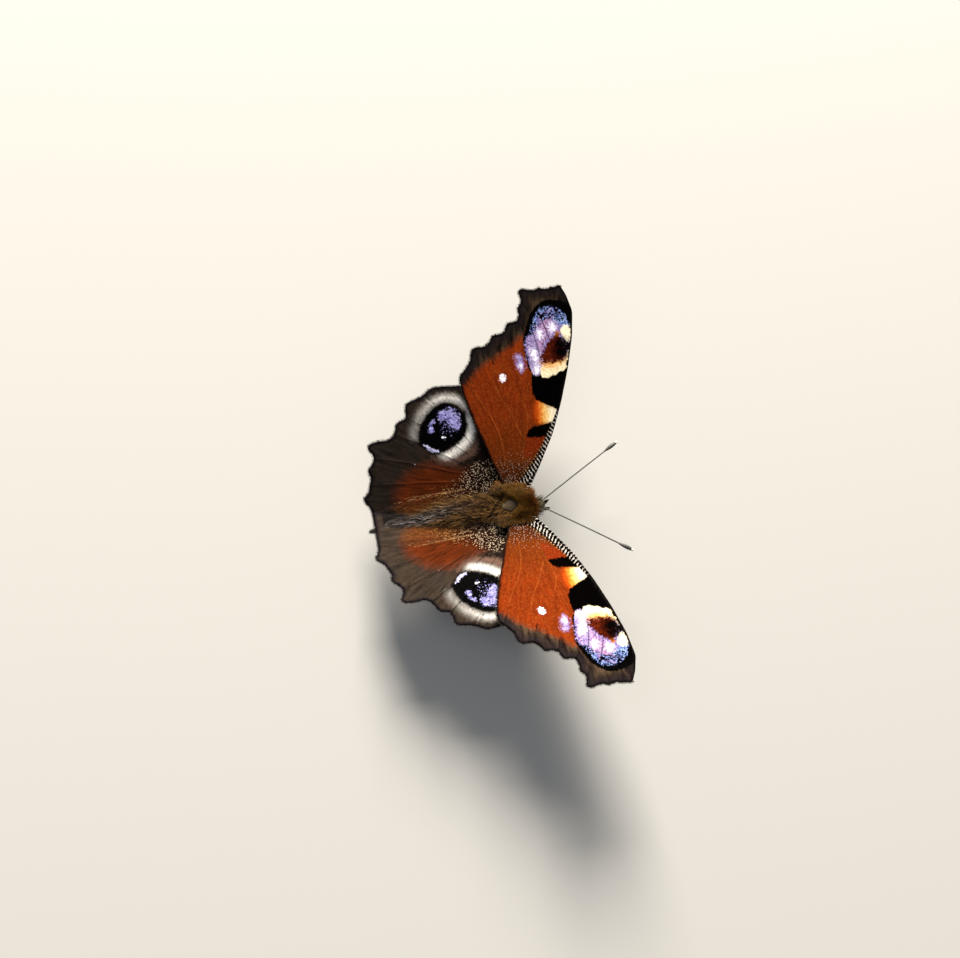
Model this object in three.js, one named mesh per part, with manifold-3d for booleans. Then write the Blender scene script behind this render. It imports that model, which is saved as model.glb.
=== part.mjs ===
// Peacock butterfly, Aglais io, life size, standing with its wings spread in a shallow V.
// Sizes are millimetres and degrees. x runs to its left, y to its rear and z up.
// Body sizes are measured from the middle of the thorax as [out, back, up].
// Wing sizes are [outward, forward] from the wing's hinge, on the flat wing.

import * as THREE from "three";
import { mergeVertices } from "three/addons/utils/BufferGeometryUtils.js";
import Module from "manifold-3d";

const wasm = await Module();
wasm.setup();

// Whole animal
const GAP = 0.3;
const BODY_HEIGHT = 7.0;
const FLOOR = -BODY_HEIGHT;

// Thorax, with its pile
const THORAX = { centre: [0, 0.15, 0.1], radii: [3.0, 3.25, 2.6], sides: 24 };

// Abdomen: its axis, bent a little to the right, and its half width, both by how far back
const ABDOMEN_AXIS = [[0, 2.6, 0.1], [0, 6, 0.05], [-0.1, 10, -0.2], [-0.35, 14, -0.3], [-0.55, 17, -0.1]];
const ABDOMEN_HALF_WIDTH = [[2.6, 1.2], [4.5, 1.6], [7.5, 1.72], [10.5, 1.5], [14, 1.05], [16.2, 0.6], [17, 0.12]];
const ABDOMEN_DEPTH_TO_WIDTH = 1.05;
const ABDOMEN_SIDES = 18;
const ABDOMEN_END_CAP = 0.12;
const SEGMENTS = 8;
const SEGMENT_STEPS = 2;
const SEGMENT_GROOVE = 0.07;
const GROOVES_FADE_OVER = 3;

// Head
const HEAD = { centre: [0, -3.25, -0.4], radii: [0.78, 0.98, 1.05], sides: 18 };
const EYE = { centre: [0.62, -3.35, -0.3], radii: [0.78, 0.78, 0.88], sides: 16 };
const PALP_PATH = [[0.34, -3.7, -1.0], [0.42, -4.15, -0.95], [0.54, -4.45, -0.65], [0.62, -4.65, -0.2]];
const PALP_RADII = [0.26, 0.3, 0.26, 0.12];
const PALP_STEPS = 7;

// Proboscis: coiled forward and under, seen from the side as [back, up]
const MOUTH = [-3.6, -1.25];
const COIL = { centre: [-4.05, -2.5], outerRadius: 0.68, innerRadius: 0.46, start: 80, turn: 265, bends: 9 };
const COIL_STEPS = 18;
const TONGUE_RADIUS = 0.25;

// Antennae: a thin straight shaft that ends in a club
const ANTENNA_ROOT = [0.5, -3.6, 0.3];
const ANTENNA_LENGTH = 14.9;
const ANTENNA_POSE = { left: { azimuth: 30.7, elevation: 5.0 }, right: { azimuth: 35.8, elevation: 5.0 } };
const ANTENNA_BOW = 0.1;
const ANTENNA_STEPS = 18;
const SHAFT_RADIUS = 0.25;
const CLUB_RADIUS = 0.36;
const CLUB_LENGTH = 2.6;
const CLUB_TIP_BLUNTNESS = 0.92;
const CLUB_SWELL = 0.8;

// Legs: hip, bends and toe
const LEG_RADII = [0.36, 0.34, 0.3, 0.28, 0.27, 0.26, 0.25];
const LEG_STEPS = 15;
const TARSUS_UP = FLOOR + 0.22;
const ANKLE_UP = TARSUS_UP + 0.35;
const LEGS = {
  foreleg: [[0.9, -1.2, -1.6], [1.0, -1.9, -2.9], [1.0, -2.4, -3.7], [0.9, -2.3, -4.2],
    [0.8, -1.7, -4.4], [0.75, -1.2, -4.3], [0.7, -0.8, -4.1]],
  mid_leg: [[1.0, -0.2, -1.6], [2.2, -0.6, -2.9], [4.4, -1.3, -3.1], [5.1, -1.6, -3.7],
    [6.1, -2.2, ANKLE_UP], [6.8, -2.7, TARSUS_UP], [8.6, -3.7, TARSUS_UP]],
  hind_leg: [[1.0, 1.4, -1.6], [2.0, 2.2, -2.9], [3.8, 4.0, -3.2], [4.3, 4.8, -3.8],
    [4.9, 7.0, ANKLE_UP], [5.2, 7.9, TARSUS_UP], [6.0, 10.2, TARSUS_UP]],
};

// Wings
const MEMBRANE = 0.5;
const VEIN_RISE = 0.2;
const VEIN_HALF_WIDTH = 0.3;
const VEIN_FADE = 0.35;
const VEIN_RUN_IN = 0.06;
const VEIN_FOOT_SHARE = 0.4;
const EDGE_RISE = 0.12;
const WING_ARCH = 0.45;
const WING_SPAN = 30;
const ROWS = [0, 0.12, 0.28, 0.44, 0.6, 0.75, 0.87, 0.95, 1];
const LOBE_REACH = 7;
const ROOT_STEP = 0.002;

// Forewing: its leading edge, each vein from its root to the wing's margin, its inner edge.
// start is where the ridge begins along the vein, and lobes are the points of the margin
// between that vein's end and the next one's.
const FOREWING = {
  hinge: [0.51, 1.5],
  pose: {
    left: { out: 2.75, dihedral: 18.9, pitch: -1.0, sweep: -2.4 },
    right: { out: 2.45, dihedral: 18.9, pitch: -1.0, sweep: -2.1 },
  },
  edge: [[-1.4, 1.2], [0.1, 1.95], [1.4, 3.1], [4, 4.75], [9.1, 6.95], [16.2, 9.0], [22, 10.2],
    [25.4, 10.45], [28.4, 9.45], [29.2, 8.95]],
  veins: [
    // Radius
    { start: 0,
      path: [[-1.4, 1.0], [1.0, 2.0], [4, 3.95], [8, 5.6], [13, 7.1], [19, 8.4], [24, 9.0], [29.4, 8.65]],
      lobes: [[29.1, 7.95]] },
    // Its branch
    { start: 0.62,
      path: [[-1.4, 0.9], [1.0, 1.75], [4, 3.55], [8, 5.1], [13, 6.55], [19, 7.7], [24, 7.95], [29.2, 7.45]],
      lobes: [[28.9, 6.95], [28.92, 6.2]] },
    // First medial
    { start: 0.42,
      path: [[-1.4, 0.75], [1, 1.5], [4, 3.1], [8, 4.5], [13, 5.9], [17, 6.6], [21.3, 6.55], [24.1, 5.9],
        [29.18, 5.5]],
      lobes: [[28.8, 5.1], [28.85, 4.0], [29.12, 2.95], [28.85, 2.5], [28.2, 2.6]] },
    // Second medial
    { start: 0.46,
      path: [[-1.4, 0.6], [1, 1.25], [4, 2.65], [8, 3.6], [13, 4.6], [18.7, 5.2], [22.2, 4.45], [25.8, 3.9],
        [27.5, 2.88]],
      lobes: [[26.9, 2.75], [26.35, 2.2], [25.2, 2.35]] },
    // Third medial
    { start: 0.42,
      path: [[-1.4, 0.45], [1, 1.0], [4, 2.15], [8, 2.65], [13, 3.5], [16.5, 3.75], [19.5, 3.35],
        [22.3, 3.05], [24.4, 2.05]],
      lobes: [[24.12, 1.2], [24.2, 0.4], [23.2, 0.22]] },
    // First cubital
    { start: 0,
      path: [[-1.4, 0.3], [1, 0.8], [3.5, 1.7], [7.5, 2.1], [10.5, 2.5], [12.6, 2.2], [16, 1.7],
        [20.5, 0.8], [22.75, -0.12]],
      lobes: [[22.45, -0.8], [22.5, -1.7], [22.1, -2.05], [21.4, -2.25]] },
    // Second cubital
    { start: 0.32,
      path: [[-1.4, 0.15], [1, 0.5], [3.5, 1.3], [7.4, 1.55], [11, 0.2], [13.5, -0.9], [18.3, -2.1],
        [20.9, -3.0]],
      lobes: [[20.7, -3.65], [20.9, -4.4], [20.35, -5.1], [18.9, -5.3], [17.9, -6.0]] },
    // Anal
    { start: 0,
      path: [[-1.4, -0.1], [1, -0.3], [3.5, -0.95], [7, -1.6], [10, -2.6], [14, -4.9], [17.2, -6.55]],
      lobes: [[16.9, -6.95]] },
  ],
  innerEdge: [[-1.4, -0.4], [1, -1.7], [3.5, -2.9], [7.1, -4.2], [10.3, -5.5], [14.2, -6.7], [16.2, -7.1]],
};

// Hindwing: its leading edge lies under the forewing and its inner edge runs along the abdomen
const HINDWING = {
  hinge: [3.79, 0.4],
  pose: {
    left: { out: 2.55, dihedral: 18.9, pitch: -1.0, sweep: 8.6 },
    right: { out: 2.25, dihedral: 14.4, pitch: 1.5, sweep: -1.1 },
  },
  edge: [[-1.2, 2.9], [2, 3.7], [6, 3.9], [10, 3.1], [13.5, 1.6], [15.6, 0.5], [16.2, -0.1]],
  veins: [
    // Subcostal
    { start: 0,
      path: [[-1.2, 2.6], [2, 2.8], [6, 2.7], [10, 1.8], [13.5, 0.4], [16.4, -0.75]],
      lobes: [[16.62, -1.8]] },
    // Radial
    { start: 0.2,
      path: [[-1.2, 2.35], [3, 1.75], [7, 1.0], [11, -0.2], [14.5, -1.5], [16.9, -2.85]],
      lobes: [[17.12, -4.3], [17.08, -5.25], [16.5, -5.9]] },
    // First medial
    { start: 0.3,
      path: [[-1.2, 2.15], [3, 1.1], [7, -0.6], [10.5, -2.5], [14.6, -5.3], [16.15, -7.1]],
      lobes: [[16.0, -8.0], [15.95, -8.8], [15.45, -9.25], [14.5, -9.3]] },
    // Second medial
    { start: 0.3,
      path: [[-1.2, 1.95], [3, 0.55], [6.5, -1.9], [9.5, -4.7], [12.3, -7.9], [13.7, -9.6]],
      lobes: [[13.58, -10.2], [13.5, -11.0], [12.6, -11.4]] },
    // Third medial
    { start: 0,
      path: [[-1.2, 1.75], [2.6, 0.1], [5.2, -2.9], [7.6, -6.0], [9.7, -8.6], [11.75, -11.9]],
      lobes: [[11.25, -12.8], [11.5, -14.5], [11.35, -15.7], [10.9, -16.1], [9.9, -15.6]] },
    // First cubital
    { start: 0.25,
      path: [[-1.2, 1.55], [2.1, -0.4], [4.2, -4.4], [6.2, -8.4], [7.1, -10.2], [8.2, -13], [9.2, -15.5]],
      lobes: [[8.3, -16.0], [7.85, -16.85], [7.25, -16.85], [6.6, -16.55]] },
    // Second cubital
    { start: 0.25,
      path: [[-1.2, 1.35], [1.6, -0.9], [3.0, -5.4], [4.1, -10], [4.8, -14], [5.6, -17.05]],
      lobes: [[4.6, -17.5], [3.9, -18.45], [3.2, -18.35], [2.3, -17.75]] },
    // Anal
    { start: 0,
      path: [[-1.2, 1.15], [0.9, -1.3], [1.6, -6.4], [1.6, -12], [1.4, -17.8]],
      lobes: [] },
  ],
};

// Inner edge of a hindwing: its first places beside the thorax, how far back it follows the
// abdomen, and the two hindwings' meeting point behind the tail, as [out, back] on the body
const INNER_EDGE_ROOT = [[1.2, 1.9], [2.1, 3.9]];
const INNER_EDGE_STATIONS = [7, 10, 13, 15.5];
const ABDOMEN_CLEARANCE = 0.4;
const TAIL_MEETING = [-0.93, 21.4];
const TAIL_APPROACH = { out: 0.35, forward: 2.6 };
const TAIL_LOBES = 2;

// Colours, roughness and metalness of each finish
const FINISH = {
  pile: { color: 0x4d3720, roughness: 0.95, metalness: 0 },
  abdomen: { color: 0x3b2c20, roughness: 0.95, metalness: 0 },
  wing: { color: 0x8e3a18, roughness: 0.8, metalness: 0 },
  eye: { color: 0x1d1612, roughness: 0.3, metalness: 0 },
  cuticle: { color: 0x2c261d, roughness: 0.6, metalness: 0 },
};

const radians = THREE.MathUtils.degToRad;

// Closed solids from three.js geometries, and back
function solidOf(geometry) {
  const bare = geometry.clone();
  bare.deleteAttribute("normal");
  bare.deleteAttribute("uv");
  const merged = mergeVertices(bare, 1e-5);
  return new wasm.Manifold(new wasm.Mesh({
    numProp: 3,
    vertProperties: new Float32Array(merged.attributes.position.array),
    triVerts: new Uint32Array(merged.index.array),
  }));
}

function geometryOf(solid) {
  const bodies = solid.decompose();
  bodies.sort((a, b) => b.volume() - a.volume());
  const mesh = bodies[0].getMesh();
  const geometry = new THREE.BufferGeometry();
  geometry.setAttribute("position", new THREE.BufferAttribute(new Float32Array(mesh.vertProperties), 3));
  geometry.setIndex(new THREE.BufferAttribute(new Uint32Array(mesh.triVerts), 1));
  geometry.computeVertexNormals();
  return geometry;
}

// The shape of a piece on the other side of the body
function onSide(solid, side) {
  return side === "right" ? solid.mirror([1, 0, 0]) : solid;
}

// Geometry over a grid of points: faces run between neighbouring rings, and each end ring
// closes on a point
function ringsToGeometry(rings, startPoint, endPoint) {
  const sides = rings[0].length;
  const points = [startPoint, ...rings.flat(), endPoint];
  const index = [];
  const at = (ring, side) => 1 + ring * sides + (side % sides);
  for (let side = 0; side < sides; side += 1) {
    index.push(0, at(0, side + 1), at(0, side));
    for (let ring = 0; ring + 1 < rings.length; ring += 1) {
      index.push(at(ring, side), at(ring, side + 1), at(ring + 1, side));
      index.push(at(ring, side + 1), at(ring + 1, side + 1), at(ring + 1, side));
    }
    index.push(points.length - 1, at(rings.length - 1, side), at(rings.length - 1, side + 1));
  }
  const geometry = new THREE.BufferGeometry();
  geometry.setAttribute("position", new THREE.Float32BufferAttribute(points.flatMap((p) => p.toArray()), 3));
  geometry.setIndex(index);
  return geometry;
}

// Value at a place in a table of [place, value] rows
function lookUp(table, place) {
  const last = table.length - 1;
  if (place <= table[0][0]) {
    return table[0][1];
  }
  for (let row = 0; row < last; row += 1) {
    const [from, low] = table[row];
    const [to, high] = table[row + 1];
    if (place <= to) {
      return THREE.MathUtils.lerp(low, high, (place - from) / (to - from));
    }
  }
  return table[last][1];
}

// Smooth ellipsoid, grown by a margin where it is used as a cutter
function ellipsoid({ centre, radii, sides }, grow = 0) {
  const geometry = new THREE.SphereGeometry(1, sides, Math.round((sides * 2) / 3));
  geometry.scale(...radii.map((radius) => radius + grow));
  geometry.translate(...centre);
  return solidOf(geometry);
}

// Round piece of changing radius along a smooth path of points
function limb(points, radii, steps, sides = 8) {
  const path = new THREE.CatmullRomCurve3(points.map((p) => new THREE.Vector3(...p)), false, "centripetal");
  const frames = path.computeFrenetFrames(steps);
  const radiusTable = radii.map((radius, i) => [i / (radii.length - 1), radius]);
  const rings = [];
  for (let step = 0; step <= steps; step += 1) {
    const radius = lookUp(radiusTable, step / steps);
    const centre = path.getPointAt(step / steps);
    const ring = [];
    for (let side = 0; side < sides; side += 1) {
      const turn = (side / sides) * 2 * Math.PI;
      const offset = frames.normals[step].clone().multiplyScalar(radius * Math.cos(turn));
      offset.addScaledVector(frames.binormals[step], radius * Math.sin(turn));
      ring.push(centre.clone().add(offset));
    }
    rings.push(ring);
  }
  return ringsToGeometry(rings, path.getPointAt(0), path.getPointAt(1));
}

// Thorax, hollowed at the front where the head sits in its collar of pile
function thoraxWithCollar() {
  return ellipsoid(THORAX).subtract(ellipsoid(HEAD, GAP));
}

// Abdomen: rings along its axis, drawn in a little where one segment meets the next
function abdomen() {
  const axis = new THREE.CatmullRomCurve3(ABDOMEN_AXIS.map((p) => new THREE.Vector3(...p)));
  const start = axis.getPointAt(0);
  const end = axis.getPointAt(1);
  const steps = SEGMENTS * SEGMENT_STEPS;
  const rings = [];
  for (let step = 0; step <= steps; step += 1) {
    const centre = axis.getPointAt(step / steps);
    const groove = step % SEGMENT_STEPS === 0 ? SEGMENT_GROOVE : 0;
    const fade = Math.min(1, (end.y - centre.y) / GROOVES_FADE_OVER);
    const halfWidth = lookUp(ABDOMEN_HALF_WIDTH, centre.y) - groove * fade;
    const ring = [];
    for (let side = 0; side < ABDOMEN_SIDES; side += 1) {
      const turn = (side / ABDOMEN_SIDES) * 2 * Math.PI;
      const out = -halfWidth * Math.cos(turn);
      const up = halfWidth * ABDOMEN_DEPTH_TO_WIDTH * Math.sin(turn);
      ring.push(new THREE.Vector3(centre.x + out, centre.y, centre.z + up));
    }
    rings.push(ring);
  }
  start.y -= ABDOMEN_END_CAP;
  end.y += ABDOMEN_END_CAP;
  return solidOf(ringsToGeometry(rings, start, end)).subtract(ellipsoid(THORAX, GAP));
}

// Head parts
function eye() {
  return ellipsoid(EYE).subtract(ellipsoid(HEAD, GAP)).subtract(ellipsoid(THORAX, GAP));
}

function palp() {
  return solidOf(limb(PALP_PATH, PALP_RADII, PALP_STEPS)).subtract(ellipsoid(HEAD, GAP));
}

function proboscis() {
  const points = [[0, ...MOUTH]];
  for (let bend = 0; bend <= COIL.bends; bend += 1) {
    const share = bend / COIL.bends;
    const turn = radians(COIL.start + COIL.turn * share);
    const radius = THREE.MathUtils.lerp(COIL.outerRadius, COIL.innerRadius, share);
    points.push([0, COIL.centre[0] + radius * Math.cos(turn), COIL.centre[1] + radius * Math.sin(turn)]);
  }
  const radii = [TONGUE_RADIUS, TONGUE_RADIUS];
  return solidOf(limb(points, radii, COIL_STEPS)).subtract(ellipsoid(HEAD, GAP));
}

// Antenna: straight but for a slight bow, with its club swelling towards the blunt tip
function antenna(pose) {
  const azimuth = radians(pose.azimuth);
  const elevation = radians(pose.elevation);
  const along = new THREE.Vector3(
    Math.sin(azimuth) * Math.cos(elevation),
    -Math.cos(azimuth) * Math.cos(elevation),
    Math.sin(elevation),
  );
  const points = [0, 0.5, 1].map((share) => {
    const point = new THREE.Vector3(...ANTENNA_ROOT).addScaledVector(along, ANTENNA_LENGTH * share);
    point.z += ANTENNA_BOW * Math.sin(Math.PI * share);
    return point.toArray();
  });
  const clubShare = CLUB_LENGTH / ANTENNA_LENGTH;
  const radii = [];
  for (let step = 0; step <= ANTENNA_STEPS; step += 1) {
    const intoClub = Math.max(0, (step / ANTENNA_STEPS - (1 - clubShare)) / clubShare);
    const swell = Math.sin(Math.PI * (intoClub * CLUB_TIP_BLUNTNESS) ** CLUB_SWELL);
    radii.push(SHAFT_RADIUS + (CLUB_RADIUS - SHAFT_RADIUS) * swell);
  }
  return solidOf(limb(points, radii, ANTENNA_STEPS)).subtract(ellipsoid(HEAD, GAP));
}

// Leg with its foot lying flat on the floor
function leg(points) {
  const geometry = limb(points, LEG_RADII, LEG_STEPS);
  const position = geometry.attributes.position;
  for (let i = 0; i < position.count; i += 1) {
    position.setZ(i, Math.max(FLOOR, position.getZ(i)));
  }
  return solidOf(geometry).subtract(ellipsoid(THORAX, GAP));
}

// Place of a wing on the body, from its hinge and angles. sign is -1 for a wing shaped on the
// left and then mirrored to the right.
function wingPlace(wing, side, sign = 1) {
  const { out, dihedral, pitch, sweep } = wing.pose[side];
  const place = new THREE.Object3D();
  place.position.set(sign * out, ...wing.hinge);
  place.rotation.set(radians(pitch), -sign * radians(dihedral), sign * radians(sweep), "YXZ");
  place.updateMatrix();
  return place;
}

// Whether a place on the flat wing is clear of the thorax on both its faces
function clearOfThorax(point, place) {
  return [-1, 1].every((face) => {
    const spot = new THREE.Vector3(point.x, -point.y, face * (MEMBRANE / 2 + VEIN_RISE));
    spot.applyMatrix4(place.matrix).sub(new THREE.Vector3(...THORAX.centre));
    return spot.divide(new THREE.Vector3(...THORAX.radii).addScalar(GAP)).length() >= 1;
  });
}

// Inner edge of a hindwing, kept clear of the abdomen's side and carried to the tail.
// Each place on the body, [out, back], is turned into a place on the flat wing.
function hindInnerEdge(side, place) {
  const sign = side === "left" ? 1 : -1;
  const axisOut = ABDOMEN_AXIS.map(([out, back]) => [back, sign * out]);
  const places = [...INNER_EDGE_ROOT];
  for (const back of INNER_EDGE_STATIONS) {
    const abdomenSide = lookUp(axisOut, back) + lookUp(ABDOMEN_HALF_WIDTH, back);
    places.push([abdomenSide + ABDOMEN_CLEARANCE, back]);
  }
  const tail = sign * TAIL_MEETING[0] + GAP;
  places.push([tail + TAIL_APPROACH.out, TAIL_MEETING[1] - TAIL_APPROACH.forward]);
  places.push([tail, TAIL_MEETING[1]]);
  const [a, c, , , b, d] = place.matrix.elements;
  return places.map(([out, back]) => {
    const dx = out - place.position.x;
    const dy = back - place.position.y;
    return [(d * dx - b * dy) / (a * d - b * c), -(a * dy - c * dx) / (a * d - b * c)];
  });
}

// Lines of a wing from its root to its margin: edges, veins with a foot line on either side of
// the crest, and lines between them that end at the lobes of the margin
function wingLines(wing, place, innerEdge, innerLobes) {
  const sample = (points) => {
    const path = new THREE.SplineCurve(points.map((p) => new THREE.Vector2(...p)));
    let root = 0;
    while (!clearOfThorax(path.getPointAt(root), place)) {
      root += ROOT_STEP;
    }
    return ROWS.map((row) => path.getPointAt(root + (1 - root) * row));
  };
  const rays = [
    { points: sample(wing.edge), lobes: [], edge: true },
    ...wing.veins.map((vein) => ({ points: sample(vein.path), lobes: vein.lobes, start: vein.start })),
    { points: sample(innerEdge), lobes: [], edge: true },
  ];
  rays[rays.length - 2].lobes = rays[rays.length - 2].lobes.concat(innerLobes);
  const lines = [];
  rays.forEach((ray, i) => {
    lines.push({ points: ray.points, start: ray.start, edge: ray.edge });
    ray.lobes.forEach((lobe, k) => {
      const share = (k + 1) / (ray.lobes.length + 1);
      const points = ROWS.map((row, j) => ray.points[j].clone().lerp(rays[i + 1].points[j], share));
      const shift = new THREE.Vector2(...lobe).sub(points[points.length - 1]);
      lines.push({ points: points.map((point, j) => point.addScaledVector(shift, ROWS[j] ** LOBE_REACH)) });
    });
  });
  return lines.flatMap((line, i) => {
    if (line.start === undefined) {
      return [line];
    }
    const foot = (neighbour) => ({
      points: line.points.map((point, j) => {
        const across = neighbour.points[j].clone().sub(point);
        const reach = Math.min(VEIN_HALF_WIDTH, VEIN_FOOT_SHARE * across.length());
        return point.clone().add(across.setLength(reach));
      }),
    });
    return [foot(lines[i - 1]), line, foot(lines[i + 1])];
  });
}

// How far a line's surface stands out from the membrane at a row
function rise(line, row) {
  if (line.edge) {
    return EDGE_RISE * (1 - row);
  }
  if (line.start === undefined || row < line.start) {
    return 0;
  }
  const begun = line.start === 0 ? 1 : Math.min(1, (row - line.start) / VEIN_RUN_IN);
  return VEIN_RISE * begun * (1 - VEIN_FADE * row);
}

// Wing in its own flat frame, its two faces split into triangles alike
function wingSolid(wing, place, innerEdge, innerLobes) {
  const lines = wingLines(wing, place, innerEdge, innerLobes);
  const rows = ROWS.length;
  const top = [];
  const bottom = [];
  for (const line of lines) {
    line.points.forEach((point, j) => {
      const arch = WING_ARCH * Math.sin(Math.PI * THREE.MathUtils.clamp(point.x / WING_SPAN, 0, 1));
      const lift = rise(line, ROWS[j]);
      top.push(new THREE.Vector3(point.x, -point.y, arch + MEMBRANE / 2 + lift));
      bottom.push(new THREE.Vector3(point.x, -point.y, arch - MEMBRANE / 2 - (line.edge ? lift : 0)));
    });
  }
  const count = top.length;
  const at = (i, j) => i * rows + j;
  const index = [];
  const quad = (a, b, c, d) => index.push(a, c, b, a, d, c);
  for (let i = 0; i + 1 < lines.length; i += 1) {
    for (let j = 0; j + 1 < rows; j += 1) {
      const [a, b, c, d] = [at(i, j), at(i + 1, j), at(i + 1, j + 1), at(i, j + 1)];
      quad(a, b, c, d);
      index.push(count + a, count + b, count + c, count + a, count + c, count + d);
    }
    quad(at(i + 1, 0), at(i, 0), count + at(i, 0), count + at(i + 1, 0));
    quad(at(i, rows - 1), at(i + 1, rows - 1), count + at(i + 1, rows - 1), count + at(i, rows - 1));
  }
  const final = lines.length - 1;
  for (let j = 0; j + 1 < rows; j += 1) {
    quad(at(0, j), at(0, j + 1), count + at(0, j + 1), count + at(0, j));
    quad(at(final, j + 1), at(final, j), count + at(final, j), count + at(final, j + 1));
  }
  const geometry = new THREE.BufferGeometry();
  const positions = [...top, ...bottom].flatMap((p) => p.toArray());
  geometry.setAttribute("position", new THREE.Float32BufferAttribute(positions, 3));
  geometry.setIndex(index);
  return solidOf(geometry);
}

// Scene graph
const group = new THREE.Group();
const body = new THREE.Group();
group.add(body);

function addPiece(name, solid, finish, place) {
  const mesh = new THREE.Mesh(geometryOf(solid), new THREE.MeshStandardMaterial(FINISH[finish]));
  mesh.name = name;
  if (place) {
    mesh.position.copy(place.position);
    mesh.rotation.copy(place.rotation);
  }
  body.add(mesh);
}

function addWing(name, wing, side, innerEdge, innerLobes) {
  const solid = wingSolid(wing, wingPlace(wing, side), innerEdge, innerLobes);
  addPiece(`${name}_${side}`, onSide(solid, side), "wing", wingPlace(wing, side, side === "right" ? -1 : 1));
}

addPiece("thorax", thoraxWithCollar(), "pile");
addPiece("head", ellipsoid(HEAD), "pile");
addPiece("abdomen", abdomen(), "abdomen");
addPiece("proboscis", proboscis(), "cuticle");
for (const side of ["left", "right"]) {
  addPiece(`eye_${side}`, onSide(eye(), side), "eye");
  addPiece(`palp_${side}`, onSide(palp(), side), "pile");
  addPiece(`antenna_${side}`, onSide(antenna(ANTENNA_POSE[side]), side), "cuticle");
  for (const [name, points] of Object.entries(LEGS)) {
    addPiece(`${name}_${side}`, onSide(leg(points), side), "cuticle");
  }
  addWing("forewing", FOREWING, side, FOREWING.innerEdge, []);
  const inner = hindInnerEdge(side, wingPlace(HINDWING, side));
  const analTip = new THREE.Vector2(...HINDWING.veins.at(-1).path.at(-1));
  const innerTip = new THREE.Vector2(...inner.at(-1));
  const innerLobes = [];
  for (let lobe = 1; lobe <= TAIL_LOBES; lobe += 1) {
    innerLobes.push(analTip.clone().lerp(innerTip, lobe / (TAIL_LOBES + 1)).toArray());
  }
  addWing("hindwing", HINDWING, side, inner, innerLobes);
}

// Origin in the middle of the animal's outline, on the floor
const box = new THREE.Box3().setFromObject(group, true);
body.position.set(-(box.min.x + box.max.x) / 2, -(box.min.y + box.max.y) / 2, BODY_HEIGHT);

export default group;
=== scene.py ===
"""Peacock butterfly, life size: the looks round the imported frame, in metres."""

import math

import bmesh
import bpy
import numpy as np
from mathutils import Matrix, Vector
from mathutils.kdtree import KDTree


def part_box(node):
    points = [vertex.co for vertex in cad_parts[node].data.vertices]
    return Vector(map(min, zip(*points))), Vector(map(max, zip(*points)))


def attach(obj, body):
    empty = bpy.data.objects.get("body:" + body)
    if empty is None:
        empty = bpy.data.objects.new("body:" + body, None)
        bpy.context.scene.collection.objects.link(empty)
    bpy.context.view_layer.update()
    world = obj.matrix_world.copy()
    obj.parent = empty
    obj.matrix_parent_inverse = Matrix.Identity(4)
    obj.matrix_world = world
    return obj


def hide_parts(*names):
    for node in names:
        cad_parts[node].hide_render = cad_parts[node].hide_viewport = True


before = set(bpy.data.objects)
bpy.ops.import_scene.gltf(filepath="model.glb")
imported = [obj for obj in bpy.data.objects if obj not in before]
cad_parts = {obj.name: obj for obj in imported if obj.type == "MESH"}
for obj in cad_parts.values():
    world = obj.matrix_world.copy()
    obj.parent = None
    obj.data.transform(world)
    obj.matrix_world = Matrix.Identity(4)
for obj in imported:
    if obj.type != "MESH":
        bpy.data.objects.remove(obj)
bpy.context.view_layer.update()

MM = 0.001


# Floor, light and view. The insect stands on a plain pale floor under soft light from its left
# and above. The camera looks down on it from its left rear, as a person bending over it would.
thorax_low, thorax_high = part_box("thorax")
THORAX_REAR = 3.4
THORAX_TOP = 2.7
body_middle = Vector((
    (thorax_low.x + thorax_high.x) / 2,
    thorax_high.y - THORAX_REAR * MM,
    thorax_high.z - THORAX_TOP * MM,
))


def on_body(out, back, up):
    """Place in the frame of a point measured in mm from the middle of the thorax."""
    return body_middle + Vector((out, back, up)) * MM


def linear(hex_colour):
    """Linear colour with alpha from an sRGB hex string."""
    parts = [int(hex_colour[i:i + 2], 16) / 255 for i in (1, 3, 5)]
    return [c / 12.92 if c <= 0.04045 else ((c + 0.055) / 1.055) ** 2.4 for c in parts] + [1.0]


def fill(node, values):
    """Sets or links inputs of a node, by name or number. A hex string stands for its colour."""
    for key, value in values.items():
        if isinstance(value, bpy.types.NodeSocket):
            node.id_data.links.new(value, node.inputs[key])
        else:
            node.inputs[key].default_value = linear(value) if isinstance(value, str) else value


def new_material(name):
    """Empty node material, the function that adds a node to it, and its shader."""
    material = bpy.data.materials.new(name)
    material.use_nodes = True
    tree = material.node_tree

    def add(kind, *values, output=None, **settings):
        """Adds a node with its settings and links, and returns one of its outputs. A kind in
        capitals is an operation of a Math node, and a Mix node mixes colours. Its inputs in turn
        are values, links, hex colours or names of fields on the mesh, and None leaves one as it is.
        A link or name with a range is mapped from it to 0 to 1, or to a second range."""
        if kind.isupper():
            kind, settings = "Math", {"operation": kind}
        node = tree.nodes.new("ShaderNode" + kind)
        if kind == "Mix":
            node.data_type = "RGBA"
        for setting, value in settings.items():
            setattr(node, setting, value)
        in_use = [number for number, socket in enumerate(node.inputs) if socket.enabled]
        for number, value in zip(in_use, values):
            if isinstance(value, tuple) and isinstance(value[0], (str, bpy.types.NodeSocket)):
                value = add("MapRange", *value)
            elif isinstance(value, str) and value[0] != "#":
                value = add("Attribute", attribute_name=value, output="Fac")
            if value is not None:
                fill(node, {number: value})
        return node.outputs[output] if output else next(o for o in node.outputs if o.enabled)

    return material, add, tree.nodes["Principled BSDF"]


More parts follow.
